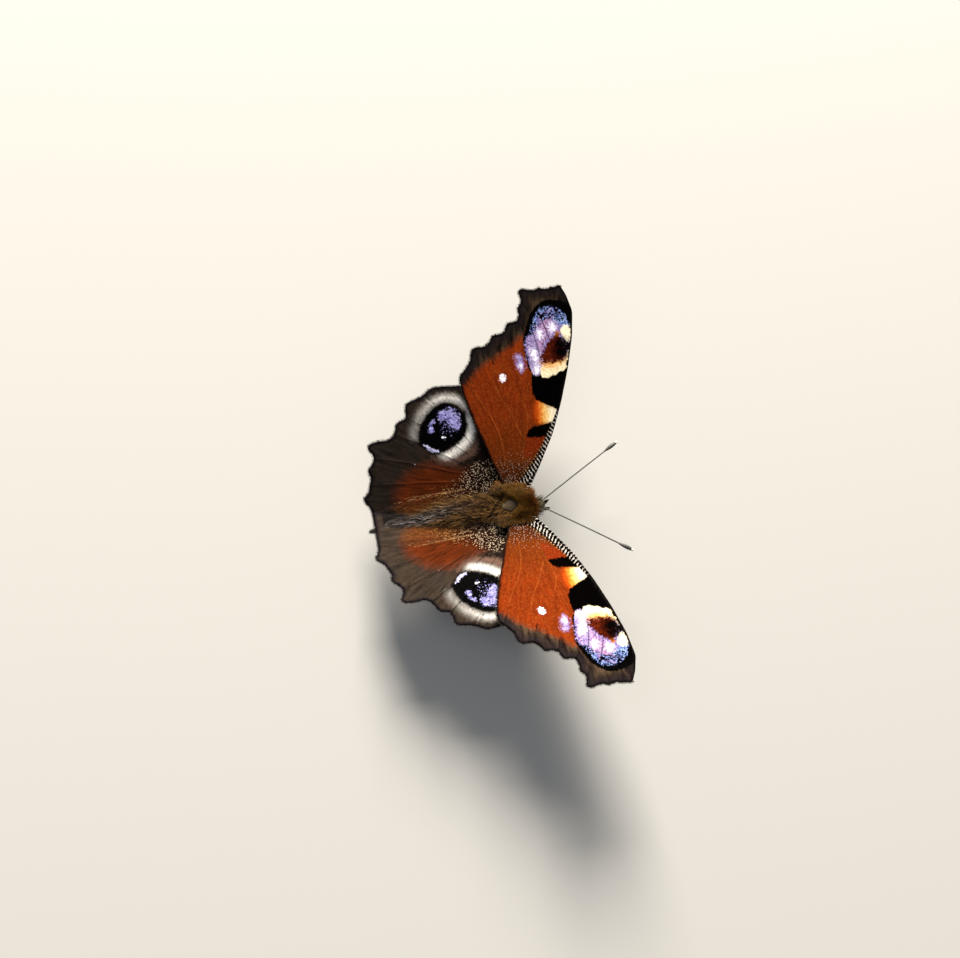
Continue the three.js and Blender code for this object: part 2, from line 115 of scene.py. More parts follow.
def show(name, shape, *materials, smooth=True):
    """Turns a bmesh into a piece of the scene, its place kept in its mesh."""
    mesh = bpy.data.meshes.new(name)
    shape.to_mesh(mesh)
    shape.free()
    for material in materials:
        mesh.materials.append(material)
    if smooth:
        mesh.shade_smooth()
    piece = bpy.data.objects.new(name, mesh)
    bpy.context.scene.collection.objects.link(piece)
    return piece


CAMERA_FROM = (-61.8, 43.2, 212.9)
CAMERA_TURN = (18.504, -7.357, -98.854)
VIEW_ANGLE = 35.0
SENSOR = 36.0
camera = bpy.data.objects.new("camera", bpy.data.cameras.new("camera"))
bpy.context.scene.collection.objects.link(camera)
camera.location = on_body(*CAMERA_FROM)
camera.rotation_euler = [math.radians(turn) for turn in CAMERA_TURN]
camera.data.sensor_width = SENSOR
camera.data.lens = SENSOR / 2 / math.tan(math.radians(VIEW_ANGLE / 2))
camera.data.clip_start = 0.005
bpy.context.scene.camera = camera
bpy.context.scene.view_settings.view_transform = "Standard"

# Matt paper: a plain pale ground that takes a soft shadow
paper, _, shader = new_material("matt white paper")
fill(shader, {"Base Color": "#a8a7a3", "Roughness": 0.9})
floor_shape = bmesh.new()
bmesh.ops.create_grid(floor_shape, x_segments=1, y_segments=1, size=1.5)
floor = show("floor", floor_shape, paper, smooth=False)

world = bpy.data.worlds.new("studio")
bpy.context.scene.world = world
world.use_nodes = True
fill(world.node_tree.nodes["Background"], {"Color": "#eef1f5", "Strength": 0.22})

for lamp_name, place, size, power, warmth in (
    ("key", (1000, -60, 630), 0.5, 51.5, "#fff7ec"),
    ("fill", (-300, 300, 900), 0.9, 3.0, "#eef3ff"),
):
    lamp = bpy.data.lights.new(lamp_name, "AREA")
    lamp.size = size
    lamp.energy = power
    lamp.color = linear(warmth)[:3]
    holder = bpy.data.objects.new(lamp_name, lamp)
    holder.location = on_body(*place)
    holder.rotation_euler = (body_middle - holder.location).to_track_quat("-Z", "Y").to_euler()
    bpy.context.scene.collection.objects.link(holder)


# Body skin. Thorax, head and abdomen are one brown skin under the pile, drawn in where one
# abdomen segment meets the next. It is made of rounds and a tapering tube fused into one shell.
COAT_DEPTH = 0.8
THORAX_CENTRE = (0, 0.15, 0.1)
THORAX_RADII = (3.0, 3.25, 2.6)
HEAD_CENTRE = (0, -3.25, -0.4)
HEAD_RADII = (0.78, 0.98, 1.05)
HEAD_COAT = 0.16
ABDOMEN_COAT = 0.22
ABDOMEN_AXIS = [(0, 1.0, 0.1), (0, 6, 0.05), (-0.1, 10, -0.2), (-0.35, 14, -0.3), (-0.55, 17, -0.1)]
ABDOMEN_WIDTHS = [
    (1.0, 1.1), (2.6, 1.25), (4.5, 1.6), (7.5, 1.72), (10.5, 1.5), (14, 1.05), (16.2, 0.6), (17, 0.35)]
SEGMENT_LENGTH = 1.75
GROOVE = 0.09
SKIN_VOXEL = 0.13


def between(a, b, c, d, t):
    """Places between b and c on a smooth line through a, b, c and d, t running from 0 to 1."""
    return 0.5 * (2 * b + (c - a) * t + (2 * a - 5 * b + 4 * c - d) * t ** 2
                  + (3 * b - a - 3 * c + d) * t ** 3)


def curve_through(points, count):
    """Points spaced evenly along a smooth line through a few places."""
    nodes = np.array([points[0], *points, points[-1]], float)
    dense = []
    for i in range(1, len(nodes) - 2):
        for t in np.linspace(0, 1, 24, endpoint=i == len(nodes) - 3):
            dense.append(between(*nodes[i - 1:i + 3], t))
    dense = np.array(dense)
    run = np.r_[0, np.cumsum(np.linalg.norm(np.diff(dense, axis=0), axis=1))]
    even = np.linspace(0, run[-1], count)
    return np.stack([np.interp(even, run, dense[:, k]) for k in range(dense.shape[1])], 1)


def tube(shape, path, radii, sides=12):
    """Adds a round piece along a path in mm on the body: circles of the given radii in mm,
    bridged in turn. Its vertices keep how far along the path they are, from 0 to 1."""
    run = shape.verts.layers.float.get("run") or shape.verts.layers.float.new("run")
    path = [on_body(*place) for place in path]
    last = len(path) - 1
    tangents = [(path[min(i + 1, last)] - path[max(i - 1, 0)]).normalized() for i in range(last + 1)]
    turn = tangents[0].to_track_quat("Z", "Y")
    loop = None
    for i, (point, tangent) in enumerate(zip(path, tangents)):
        turn = (turn @ Vector((0, 0, 1))).rotation_difference(tangent) @ turn
        place = Matrix.Translation(point) @ turn.to_matrix().to_4x4()
        verts = bmesh.ops.create_circle(
            shape, cap_ends=i in (0, last), cap_tris=False, segments=sides, radius=radii[i] * MM,
            matrix=place)["verts"]
        for vert in verts:
            vert[run] = i / last
        ring = set(verts)
        edges = list({e for v in verts for e in v.link_edges if e.other_vert(v) in ring})
        if loop:
            bmesh.ops.bridge_loops(shape, edges=loop + edges)
        loop = edges
    bmesh.ops.recalc_face_normals(shape, faces=shape.faces)


def ball(shape, centre, radii, detail=32):
    """Adds an ellipsoid, its centre and radii in mm on the body."""
    place = Matrix.Translation(on_body(*centre)) @ Matrix.Diagonal((*[r * MM for r in radii], 1))
    bmesh.ops.create_uvsphere(shape, u_segments=detail, v_segments=detail * 2 // 3, radius=1, matrix=place)


def finished(piece, *modifiers):
    """Applies modifiers, each a kind with its settings, for good."""
    for kind, settings in modifiers:
        modifier = piece.modifiers.new(kind, kind)
        for name, value in settings.items():
            setattr(modifier, name, value)
    evaluated = piece.evaluated_get(bpy.context.evaluated_depsgraph_get())
    mesh = bpy.data.meshes.new_from_object(evaluated)
    piece.modifiers.clear()
    piece.data = mesh
    return piece


skin_shape = bmesh.new()
ball(skin_shape, THORAX_CENTRE, [r - COAT_DEPTH for r in THORAX_RADII])
ball(skin_shape, HEAD_CENTRE, [r - HEAD_COAT for r in HEAD_RADII])
ball(skin_shape, (0, -2.4, -0.2), (0.62, 0.8, 0.75))
stations = curve_through(ABDOMEN_AXIS, 74)
radii = []
for out, back, up in stations:
    in_segment = (back - 3.0) / SEGMENT_LENGTH
    groove = GROOVE * abs(math.cos(math.pi * in_segment)) ** 6 if back > 3 else 0
    radius = np.interp(back, *zip(*ABDOMEN_WIDTHS)) - ABDOMEN_COAT * min(1, (17.2 - back) / 2)
    radii.append(radius - groove * min(1, (17 - back) / 3))
tube(skin_shape, stations, radii, sides=36)

# Insect cuticle under short scales: dark brown, slightly glossy where the pile is rubbed, as on
# the bare grey-brown plate at the rear of the thorax.
PLATE_CENTRE = (-0.02, 1.42, 2.1)
PLATE_RADII = (0.97, 1.37, 1.2)
FURROW = (0.15, 3.45, 1.6)
FURROW_ACROSS = (0.65, 0.76, 0)


def body_colours(add, tone):
    """Colour of the body by place: golden brown thorax, dark abdomen with a grey streak, grey
    head. tone picks between the dark and the light hairs of each part. Also the place in mm."""
    where = add("TexCoord", output="Object")
    at_mm = add("Mapping", where, -body_middle / MM, None, (1 / MM, 1 / MM, 1 / MM))
    out, back, up = add("SeparateXYZ", at_mm).node.outputs
    to_collar = add("MapRange", back, -0.5, -3.0)
    golden = add("Mix", to_collar, "#84590f", "#8f5010")
    # The dark strands are painted lighter towards the collar: painted light against the shade that the
    # forward-lying hair casts on itself there.
    umber = add("Mix", to_collar, "#1f1504", "#4a2d0a")
    thorax_pair = add("Mix", tone, umber, golden)
    off_streak = add("ABSOLUTE", add("SUBTRACT", out, add("MULTIPLY_ADD", back, -0.127, 1.45)))
    greying = add("MULTIPLY", (off_streak, 1.2, 0.2), (back, 5.0, 14.0))
    brown = add("Mix", (tone, 0.15, 0.85), "#120b05", "#8f6838")
    hushed = add("Mix", add("MAXIMUM", greying, (back, 15.3, 17.3)), brown, "#261d1a")
    silver = add("Mix", (back, 9.0, 14.5), "#a18872", "#c6bcb4")
    abdomen_pair = add("Mix", add("MULTIPLY", (tone, 0.66, 0.74), greying), hushed, silver)
    head_pair = add("Mix", tone, "#221d12", "#8a7f60")
    trunk = add("Mix", (back, 1.2, 3.6), thorax_pair, abdomen_pair)
    from_furrow = add("VectorMath", at_mm, FURROW, operation="SUBTRACT")
    off_furrow = add("ABSOLUTE", add("VectorMath", from_furrow, FURROW_ACROSS, operation="DOT_PRODUCT"))
    furrow_reach = add("VectorMath", from_furrow, operation="LENGTH")
    furrowed = add("MULTIPLY", (off_furrow, 0.3, 0.08), (furrow_reach, 2.3, 1.7, 0, 0.75))
    trunk = add("Mix", furrowed, trunk, "#0c0703")
    whole = add("Mix", (back, -2.6, -3.3), trunk, head_pair)
    return add("Mix", (up, 0.2, -1.4), whole, "#1d1713"), at_mm


cuticle, add, shader = new_material("scaled insect cuticle")
patches = add("TexNoise", add("TexCoord", output="Object"), 2400.0, 3.0)
body_colour, at_mm = body_colours(add, patches)
plate = add("VectorMath", add("VectorMath", at_mm, PLATE_CENTRE, operation="SUBTRACT"), PLATE_RADII,
            operation="DIVIDE")
spread = add("VectorMath", plate, operation="ABSOLUTE")
flat = add("VectorMath", spread, (1, 1, 0), operation="MULTIPLY")
rounded = add("MULTIPLY", add("VectorMath", flat, operation="LENGTH"), 0.25)
cornered = add("VectorMath", spread, (1, 1, 0), operation="DOT_PRODUCT")
plate_reach = add("MULTIPLY_ADD", cornered, 0.8, rounded)
plate_rear = add("SeparateXYZ", plate, output="Y")
plate_tone = add("MULTIPLY_ADD", patches, 0.9, plate_rear)
plate_colour = add("Mix", (plate_tone, -0.1, 1.0), "#271f15", "#4c4030")
edged = add("Mix", (plate_reach, 1.25, 1.08), body_colour, "#120c07")
fill(shader, {
    "Base Color": add("Mix", (plate_reach, 1.0, 0.86), edged, plate_colour),
    "Normal": add("Bump", 0.6, 0.00004, None, patches),
    "Roughness": 0.55,
    "Specular IOR Level": 0.1,
})

skin = show("body_skin", skin_shape, cuticle)
finished(skin,
         ("REMESH", {"mode": "VOXEL", "voxel_size": SKIN_VOXEL * MM, "use_smooth_shade": True}),
         ("SMOOTH", {"factor": 0.5, "iterations": 4}))
skin.data.materials.clear()
skin.data.materials.append(cuticle)
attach(skin, "root")
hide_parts("thorax", "head", "abdomen")


# Body pile. The thorax carries a dense golden-brown pile that lies back from a collar behind the
# head, and the abdomen longer brown and grey hairs that lie towards the tail. Each tuft of hairs
# is a thin tapered blade rooted in the skin.
def read(items, name, width=1, kind=float):
    """Array of one property of a mesh's vertices, edges, corners or faces."""
    values = np.empty(len(items) * width, kind)
    items.foreach_get(name, values)
    return values.reshape(-1, width) if width > 1 else values


def store(mesh, name, values):
    """Keeps a number or a vector for each vertex of a mesh."""
    kind, field = ("FLOAT", "value") if values.ndim == 1 else ("FLOAT_VECTOR", "vector")
    mesh.attributes.new(name, kind, "POINT").data.foreach_set(field, values.astype(np.float32).ravel())


def unit(vectors):
    """Vectors of length 1 along the given ones."""
    return vectors / np.maximum(np.linalg.norm(vectors, axis=1, keepdims=True), 1e-12)


def spread_roots(mesh, count, seed):
    """Places and outward directions spread evenly by area over a mesh."""
    draws = np.random.default_rng(seed)
    mesh.calc_loop_triangles()
    corners = read(mesh.loop_triangles, "vertices", 3, np.int64)
    a, b, c = read(mesh.vertices, "co", 3)[corners].transpose(1, 0, 2)
    across = np.cross(b - a, c - a)
    areas = np.linalg.norm(across, axis=1)
    chosen = draws.choice(len(areas), count, p=areas / areas.sum())
    u, v = draws.random((2, count, 1))
    flip = (u + v) > 1
    u, v = np.where(flip, 1 - u, u), np.where(flip, 1 - v, v)
    roots = a[chosen] + u * (b - a)[chosen] + v * (c - a)[chosen]
    return roots, across[chosen] / areas[chosen, None]


TUFT_STEPS = np.array([0.0, 0.4, 0.75, 1.0])
TUFT_TURNS = np.radians((90, 210, 330))
TUFT_QUADS = [(0, 1, 4, 3), (1, 2, 5, 4), (2, 0, 3, 5), (3, 4, 7, 6), (4, 5, 8, 7), (5, 3, 6, 8)]
TUFT_TRIS = [(2, 1, 0), (6, 7, 9), (7, 8, 9), (8, 6, 9)]
ROOT_DEPTH = 0.05
PATCH = 0.003


def tufts(name, material, roots, normals, lies, lengths, widths, rises, patches, seed, sway=0.18):
    """One mesh of thin tapered tufts. Lengths and widths are in mm, rises in degrees above the
    skin, and patches are the roots' places on the unwrapped skin."""
    draws = np.random.default_rng(seed)
    count = len(roots)
    lies = unit(lies - normals * (lies * normals).sum(1, keepdims=True))
    aside = np.cross(normals, lies)
    lies = unit(lies + aside * draws.normal(0, sway, (count, 1)))
    aside = np.cross(normals, lies)
    bend = draws.normal(0, 0.14, count)
    centre = roots - normals * (ROOT_DEPTH * MM)
    rings = []
    for step, next_step in zip(TUFT_STEPS, TUFT_STEPS[1:]):
        angle = np.radians(rises) * (1 - 0.55 * step)
        ahead = unit(lies * np.cos(angle)[:, None] + normals * np.sin(angle)[:, None]
                     + aside * (bend * step)[:, None])
        upward = np.cross(ahead, aside)
        width = widths * MM * (1 - 0.75 * step ** 1.5)
        for turn in TUFT_TURNS:
            spoke = aside * math.cos(turn) + upward * (0.6 * math.sin(turn))
            rings.append(centre + width[:, None] * spoke)
        centre = centre + ahead * (lengths * MM * (next_step - step))[:, None]
    verts = np.stack([*rings, centre], 1).reshape(-1, 3)
    start = (np.arange(count) * 10)[:, None, None]
    faces = [face for shape in (TUFT_QUADS, TUFT_TRIS)
             for face in (start + np.array(shape)).reshape(-1, len(shape[0])).tolist()]
    mesh = bpy.data.meshes.new(name)
    mesh.from_pydata(verts, [], faces)
    mesh.materials.append(material)
    along = np.tile(np.repeat(TUFT_STEPS, (3, 3, 3, 1)), count)
    store(mesh, "along", along)
    store(mesh, "strand", np.repeat(draws.random(count), 10))
    turn = np.tile([*TUFT_TURNS, *TUFT_TURNS, *TUFT_TURNS, 0.0], count)
    spot = np.repeat(patches, 10, axis=0)
    spot = spot + np.stack([np.cos(turn) * PATCH * 0.4, (along - 0.5) * PATCH * 0.9], 1)
    spot = spot[read(mesh.loops, "vertex_index", kind=np.int64)].astype(np.float32)
    mesh.uv_layers.new(name="OFBake").data.foreach_set("uv", spot.ravel())
    mesh.shade_smooth()
    piece = bpy.data.objects.new(name, mesh)
    bpy.context.scene.collection.objects.link(piece)
    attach(piece, "root")
    return piece


def body_unwrap(places):
    """Places on the body skin, rolled out round its long axis."""
    x, y, z = ((places - np.array(body_middle)) / MM).T
    return np.stack([np.arctan2(x, z) / (2 * math.pi) * 0.94 + 0.5, (y + 5) / 24 * 0.96 + 0.02], 1)


def hair_material(name, lean, colours):
    """Insect hair: matt, darker at the root, each strand its own shade. colours gives its colour
    from a tone between dark and light, and a high lean keeps most strands dark."""
    material, add, shader = new_material(name)
    colour = colours(add, add("POWER", "strand", lean))
    fill(shader, {
        "Base Color": add("Mix", 1.0, colour, ("along", 0.0, 0.8, 0.55, 1.0), blend_type="MULTIPLY"),
        "Roughness": 0.6,
        "IOR": 1.55,
        "Specular IOR Level": 0.12,
    })
    return material


# Chitin hair: the strands vary from dark brown to pale gold, which gives the pile its grain
pile = hair_material("brown insect pile", 1.6, lambda add, tone: body_colours(add, tone)[0])


def body_coat(name, chosen, lies, lengths, widths, rises, seed, sway=0.18):
    """A coat of pile on some of the roots on the skin."""
    return tufts(name, pile, roots[chosen], normals[chosen], lies, lengths, widths, rises,
                 body_unwrap(roots[chosen]), seed, sway)


SKIN_ROOTS = 60000
THORAX_TUFTS = 12000
UNDERCOAT_TUFTS = 9000
ABDOMEN_TUFTS = 14000
TAIL_TUFTS = 2500
roots, normals = spread_roots(skin.data, SKIN_ROOTS, 11)
x, y, z = ((roots - np.array(body_middle)) / MM).T
back = np.array((0.0, 1.0, 0.0))
away = unit(np.stack([x, 0 * x, z], 1))
draws = np.random.default_rng(12)

# The thorax pile parts round the bare plate and stands higher towards the collar
on_thorax = (y > -2.35) & (y < 2.6)
plate_out = np.abs(x - PLATE_CENTRE[0]) / PLATE_RADII[0]
plate_back = np.abs(y - PLATE_CENTRE[1]) / PLATE_RADII[1]
from_plate = 0.8 * (plate_out + plate_back) + 0.25 * np.hypot(plate_out, plate_back)
off_plate = (from_plate > 1.08) | (z < 0.8)
for part, chosen in enumerate(np.array_split(np.flatnonzero(on_thorax & off_plate), 2)):
    chosen = chosen[:THORAX_TUFTS]
    front = np.clip(-y[chosen] / 2.4, 0, 1)
    near_plate = np.clip(2.0 - from_plate[chosen], 0, 1) * (z[chosen] > 0.8)
    off_middle = unit(np.stack([x[chosen], y[chosen] - PLATE_CENTRE[1], 0 * x[chosen]], 1))
    lies = back * (0.9 - 1.5 * front[:, None]) + 0.5 * away[chosen] + near_plate[:, None] * off_middle
    piece = body_coat(f"thorax_pile_{part + 1}", chosen, lies,
                      (1.4 + 0.5 * front - 0.85 * near_plate) * draws.uniform(0.7, 1.2, len(chosen)),
                      draws.uniform(0.03, 0.05, len(chosen)),
                      48 - 22 * near_plate + draws.normal(0, 9, len(chosen)), 21 + part)

# The abdomen's hairs fan out over its sides and run together in a point behind the tail
TAIL_MEETING = (-1.4, 22.0, -0.5)
to_meeting = unit(np.array(TAIL_MEETING) - np.stack([x, y, z], 1))
facing = np.clip((normals * to_meeting).sum(1), 0, 1)
hairy = np.flatnonzero(y >= 2.3)
for coat, chosen, length, width, rise in (
    ("abdomen_undercoat", hairy[:UNDERCOAT_TUFTS], 1.25, 0.035, 14),
    ("abdomen_long_hair", hairy[UNDERCOAT_TUFTS:ABDOMEN_TUFTS], 2.1, 0.045, 20),
):
    side = np.clip(np.abs(x[chosen] - np.interp(y[chosen], (6, 17), (0, -0.55))) / 1.3, 0, 1)
    taper = np.clip((19 - y[chosen]) / 6, 0.5, 1)
    at_tail = np.clip((y[chosen] - 11.5) / 3, 0, 1)
    fanned = back + 0.55 * (side * taper)[:, None] * away[chosen]
    reach = length * (0.75 + 0.55 * side) * taper * (1 - at_tail * facing[chosen])
    piece = body_coat(coat, chosen,
                      fanned * (1 - at_tail)[:, None] + to_meeting[chosen] * at_tail[:, None],
                      reach * draws.uniform(0.7, 1.25, len(chosen)),
                      width * draws.uniform(0.7, 1.2, len(chosen)),
                      (rise + 12 * side * taper) * (1 - 0.55 * at_tail) + draws.normal(0, 4, len(chosen)),
                      31 + rise, sway=0.4)

chosen = np.flatnonzero((y > 13.5) & (facing < 0.6))[:TAIL_TUFTS]
reach = np.interp(y[chosen], (14, 17), (2.6, 3.6))
piece = body_coat("tail_hair", chosen, to_meeting[chosen], reach * draws.uniform(0.6, 1.25, len(chosen)),
                  draws.uniform(0.025, 0.045, len(chosen)), 9 + draws.normal(0, 4, len(chosen)), 37,
                  sway=0.12)

# Short hair lies forward over the crown and down the face
chosen = np.flatnonzero(y < -2.35)
piece = body_coat("head_hair", chosen, -back + 0.45 * away[chosen] + (0, 0, -0.75),
                  draws.uniform(0.22, 0.4, len(chosen)), draws.uniform(0.025, 0.035, len(chosen)),
                  26 + draws.normal(0, 8, len(chosen)), 41)


# Compound eyes. Each is a dark brown, faceted bulge that takes up one side of the head. It is an
# ellipsoid set in the head, with facets of about 0.03 mm drawn at 0.06 mm.
EYE_CENTRE = (0.5, -3.32, -0.3)
EYE_RADII = (0.62, 0.66, 0.76)
FACET = 0.06
SIDES = (("left", 1), ("right", -1))

# Clear cornea over dark pigment: brown domes with black rims, which break up the gloss
facets, add, shader = new_material("insect compound eye")
cells = add("TexVoronoi", add("TexCoord", output="Object"), 1 / (FACET * MM), feature="DISTANCE_TO_EDGE")
rim = add("MapRange", cells, 0.0, 0.18)
fill(shader, {
    "Base Color": add("Mix", rim, "#0d0805", "#3a2416"),
    "Normal": add("Bump", 0.5, 0.00001, None, rim),
    "Roughness": 0.22,
    "IOR": 1.56,
})
for side, sign in SIDES:
    eye_shape = bmesh.new()
    ball(eye_shape, (sign * EYE_CENTRE[0], *EYE_CENTRE[1:]), EYE_RADII, detail=48)
    eye = show(f"compound_eye_{side}", eye_shape, facets)
    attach(eye, "root")
    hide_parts(f"eye_{side}")


# Palps. Two scaled feelers that stand up in front of the head like a short beak, nearly black
# with a few grey bristles. Each is a tapering tube under its own small tufts.
PALP_PATH = [(0.3, -3.5, -1.0), (0.42, -4.12, -0.95), (0.54, -4.42, -0.65), (0.62, -4.65, -0.2)]
PALP_RADII = (0.14, 0.24, 0.22, 0.1)
PALP_RINGS = 14
PALP_TUFTS = 900


def two_shade_hair(name, dark, light, lean):
    """Hair whose strands run from a dark to a light shade."""
    return hair_material(name, lean, lambda add, tone: add("Mix", tone, dark, light))


# Chitin scales and bristles: nearly black, with a few grey ones that catch the light
black_hair = two_shade_hair("black scaled hair", "#090806", "#3b362d", 3.5)
for side, sign in SIDES:
    share = np.linspace(0, 1, PALP_RINGS)
    palp_shape = bmesh.new()
    tube(palp_shape, curve_through([(sign * out, back, up) for out, back, up in PALP_PATH], PALP_RINGS),
         np.interp(share, np.linspace(0, 1, len(PALP_RADII)), PALP_RADII))
    palp = show(f"palp_skin_{side}", palp_shape, black_hair)
    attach(palp, "root")
    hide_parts(f"palp_{side}")
    palp_roots, palp_normals = spread_roots(palp.data, PALP_TUFTS, 51)
    forward = np.tile((0.1 * sign, -0.6, 0.8), (PALP_TUFTS, 1))
    draws = np.random.default_rng(52)
    piece = tufts(f"palp_hair_{side}", black_hair, palp_roots, palp_normals, forward,
                  draws.uniform(0.13, 0.26, PALP_TUFTS), draws.uniform(0.02, 0.03, PALP_TUFTS),
                  26 + draws.normal(0, 8, PALP_TUFTS), body_unwrap(palp_roots), 53)


# Proboscis. The sucking tongue, rolled up like a watch spring under the head. It is an amber
# brown tube with fine rings, made as a tapering tube along a spiral.
MOUTH = (-3.5, -1.1)
COIL_CENTRE = (-4.05, -2.5)
COIL_TURNS = 2.6
COIL_START = math.radians(95)
COIL_RADII = (0.8, 0.22)
TONGUE_RADII = (0.12, 0.06)
TONGUE_RINGS = 150

# Bare chitin: amber rings on brown, half glossy
tongue, add, shader = new_material("amber insect cuticle")
waves = add("SINE", add("MULTIPLY", "run", 700.0))
fill(shader, {"Base Color": add("Mix", waves, "#2a180b", "#5b3717"), "Roughness": 0.4, "IOR": 1.56})
spiral = [(0, *MOUTH)]
for turn in np.linspace(0, 1, 60):
    angle = COIL_START + turn * COIL_TURNS * 2 * math.pi
    reach = COIL_RADII[0] + (COIL_RADII[1] - COIL_RADII[0]) * turn
    spiral.append((0, COIL_CENTRE[0] + reach * math.cos(angle), COIL_CENTRE[1] + reach * math.sin(angle)))
tongue_shape = bmesh.new()
tube(tongue_shape, curve_through(spiral, TONGUE_RINGS), np.linspace(*TONGUE_RADII, TONGUE_RINGS), sides=10)
proboscis = show("coiled_proboscis", tongue_shape, tongue)
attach(proboscis, "root")
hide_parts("proboscis")


# Antennae. Thin dark rods with fine pale rings, each ending in a club with a cream tip. Made as
# one tube each, slightly thicker at every joint.
ANTENNA_ROOT = (0.4, -3.5, 0.25)
ANTENNA_TIPS = {"left": (30.7, 5.0), "right": (35.2, 5.0)}
ANTENNA_LENGTH = 15.0
ANTENNA_RINGS = 153
ANTENNA_JOINTS = 38
ANTENNA_SAG = 0.12
SHAFT_RADIUS = 0.1
SOCKET_RADIUS = 0.16
JOINT_SWELL = 0.008
CLUB_SHARE = 0.17
CLUB_SWELL = 0.2

# Scaled chitin: faint pale rings on a dark shaft, and a cream tip
antenna_skin, add, shader = new_material("ringed insect cuticle")
ring_wave = add("SINE", add("MULTIPLY", "run", ANTENNA_JOINTS * 2 * math.pi))
faint = add("MULTIPLY", (ring_wave, 0.75, 0.95), 0.5)
shaft_colour = add("Mix", faint, "#1b1a15", "#8f8c7c")
tipped = add("Mix", ("run", 0.972, 0.985), shaft_colour, "#e9dcc0")
fill(shader, {"Base Color": tipped, "Roughness": 0.5, "IOR": 1.56})
for side, sign in SIDES:
    azimuth, elevation = (math.radians(a) for a in ANTENNA_TIPS[side])
    ahead = np.array((sign * math.sin(azimuth) * math.cos(elevation),
                      -math.cos(azimuth) * math.cos(elevation), math.sin(elevation)))
    share = np.linspace(0, 1, ANTENNA_RINGS)
    path = np.array((sign * ANTENNA_ROOT[0], *ANTENNA_ROOT[1:])) + share[:, None] * ahead * ANTENNA_LENGTH
    path[:, 2] += ANTENNA_SAG * np.sin(math.pi * share)
    club = np.clip((share - (1 - CLUB_SHARE)) / CLUB_SHARE, 0, 1)
    knots = JOINT_SWELL * np.maximum(0, np.sin(share * ANTENNA_JOINTS * 2 * math.pi))
    radii = SHAFT_RADIUS + knots + CLUB_SWELL * np.sin(math.pi * np.clip(club * 0.9, 0, 1)) ** 1.2
    radii[0] = SOCKET_RADIUS
    antenna_shape = bmesh.new()
    tube(antenna_shape, path, radii)
    antenna = show(f"ringed_antenna_{side}", antenna_shape, antenna_skin)
    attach(antenna, "root")
    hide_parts(f"antenna_{side}")


# Legs. Four long walking legs and two small brush-like forelegs folded under the thorax, dark
# brown above with paler feet. Each is a tube with swollen thigh, thin shin and jointed foot.
FLOOR_DROP = 7.0
LEGS = {
    "foreleg": [(0.7, -1.0, -1.4), (1.0, -1.9, -2.9), (1.0, -2.4, -3.7), (0.9, -2.3, -4.2),
                (0.8, -1.7, -4.4), (0.75, -1.2, -4.3), (0.7, -0.8, -4.1)],
    "mid_leg": [(0.8, -0.1, -1.2), (2.2, -0.6, -2.9), (4.4, -1.3, -3.1), (5.1, -1.6, -3.7),
                (6.1, -2.2, -6.5), (6.8, -2.7, -6.88), (8.6, -3.7, -6.9)],
    "hind_leg": [(0.8, 1.2, -1.2), (2.0, 2.2, -2.9), (3.8, 4.0, -3.2), (4.3, 4.8, -3.8),
                 (4.9, 7.0, -6.5), (5.2, 7.9, -6.88), (6.0, 10.2, -6.9)],
}
LEG_RADII = (0.3, 0.27, 0.24, 0.17, 0.13, 0.12, 0.1)
LEG_RINGS = 60
LEG_TUFTS = 1100
BRISTLE_LENGTH = {"foreleg": 0.3, "mid_leg": 0.15, "hind_leg": 0.15}

# Scaled chitin: mottled dark brown, paler and smoother towards the foot
leg_skin, add, shader = new_material("brown scaled leg")
leg_grit = add("TexNoise", add("TexCoord", output="Object"), 9000.0, 2.0)
leg_scaled = add("Mix", leg_grit, "#1c150f", "#5c4a36")
fill(shader, {
    "Base Color": add("Mix", ("run", 0.6, 0.8, 0, 0.6), leg_scaled, "#7a6650"),
    "Normal": add("Bump", 0.5, 0.00003, None, leg_grit),
    "Roughness": 0.55,
    "IOR": 1.56,
})
# Chitin bristles: dark, with some grey ones
dark_hair = two_shade_hair("dark scaled hair", "#0c0a08", "#565044", 3.0)
for side, sign in SIDES:
    for leg_name, places in LEGS.items():
        share = np.linspace(0, 1, LEG_RINGS)
        radii = np.interp(share, np.linspace(0, 1, len(LEG_RADII)), LEG_RADII)
        radii *= 1 + 0.06 * np.sin(share ** 2 * 70)
        path = curve_through([(sign * out, back, up) for out, back, up in places], LEG_RINGS)
        leg_shape = bmesh.new()
        tube(leg_shape, path, radii, sides=10)
        for vert in leg_shape.verts:
            vert.co.z = max(vert.co.z, body_middle.z - FLOOR_DROP * MM)
        leg = show(f"jointed_{leg_name}_{side}", leg_shape, leg_skin)
        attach(leg, "root")
        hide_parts(f"{leg_name}_{side}")
        leg_roots, leg_normals = spread_roots(leg.data, LEG_TUFTS, 61)
        draws = np.random.default_rng(62)
        piece = tufts(f"{leg_name}_bristles_{side}", dark_hair, leg_roots, leg_normals,
                      leg_roots - np.array(body_middle),
                      BRISTLE_LENGTH[leg_name] * draws.uniform(0.7, 1.4, LEG_TUFTS),
                      np.full(LEG_TUFTS, 0.018), 24 + draws.normal(0, 8, LEG_TUFTS),
                      body_unwrap(leg_roots), 63)


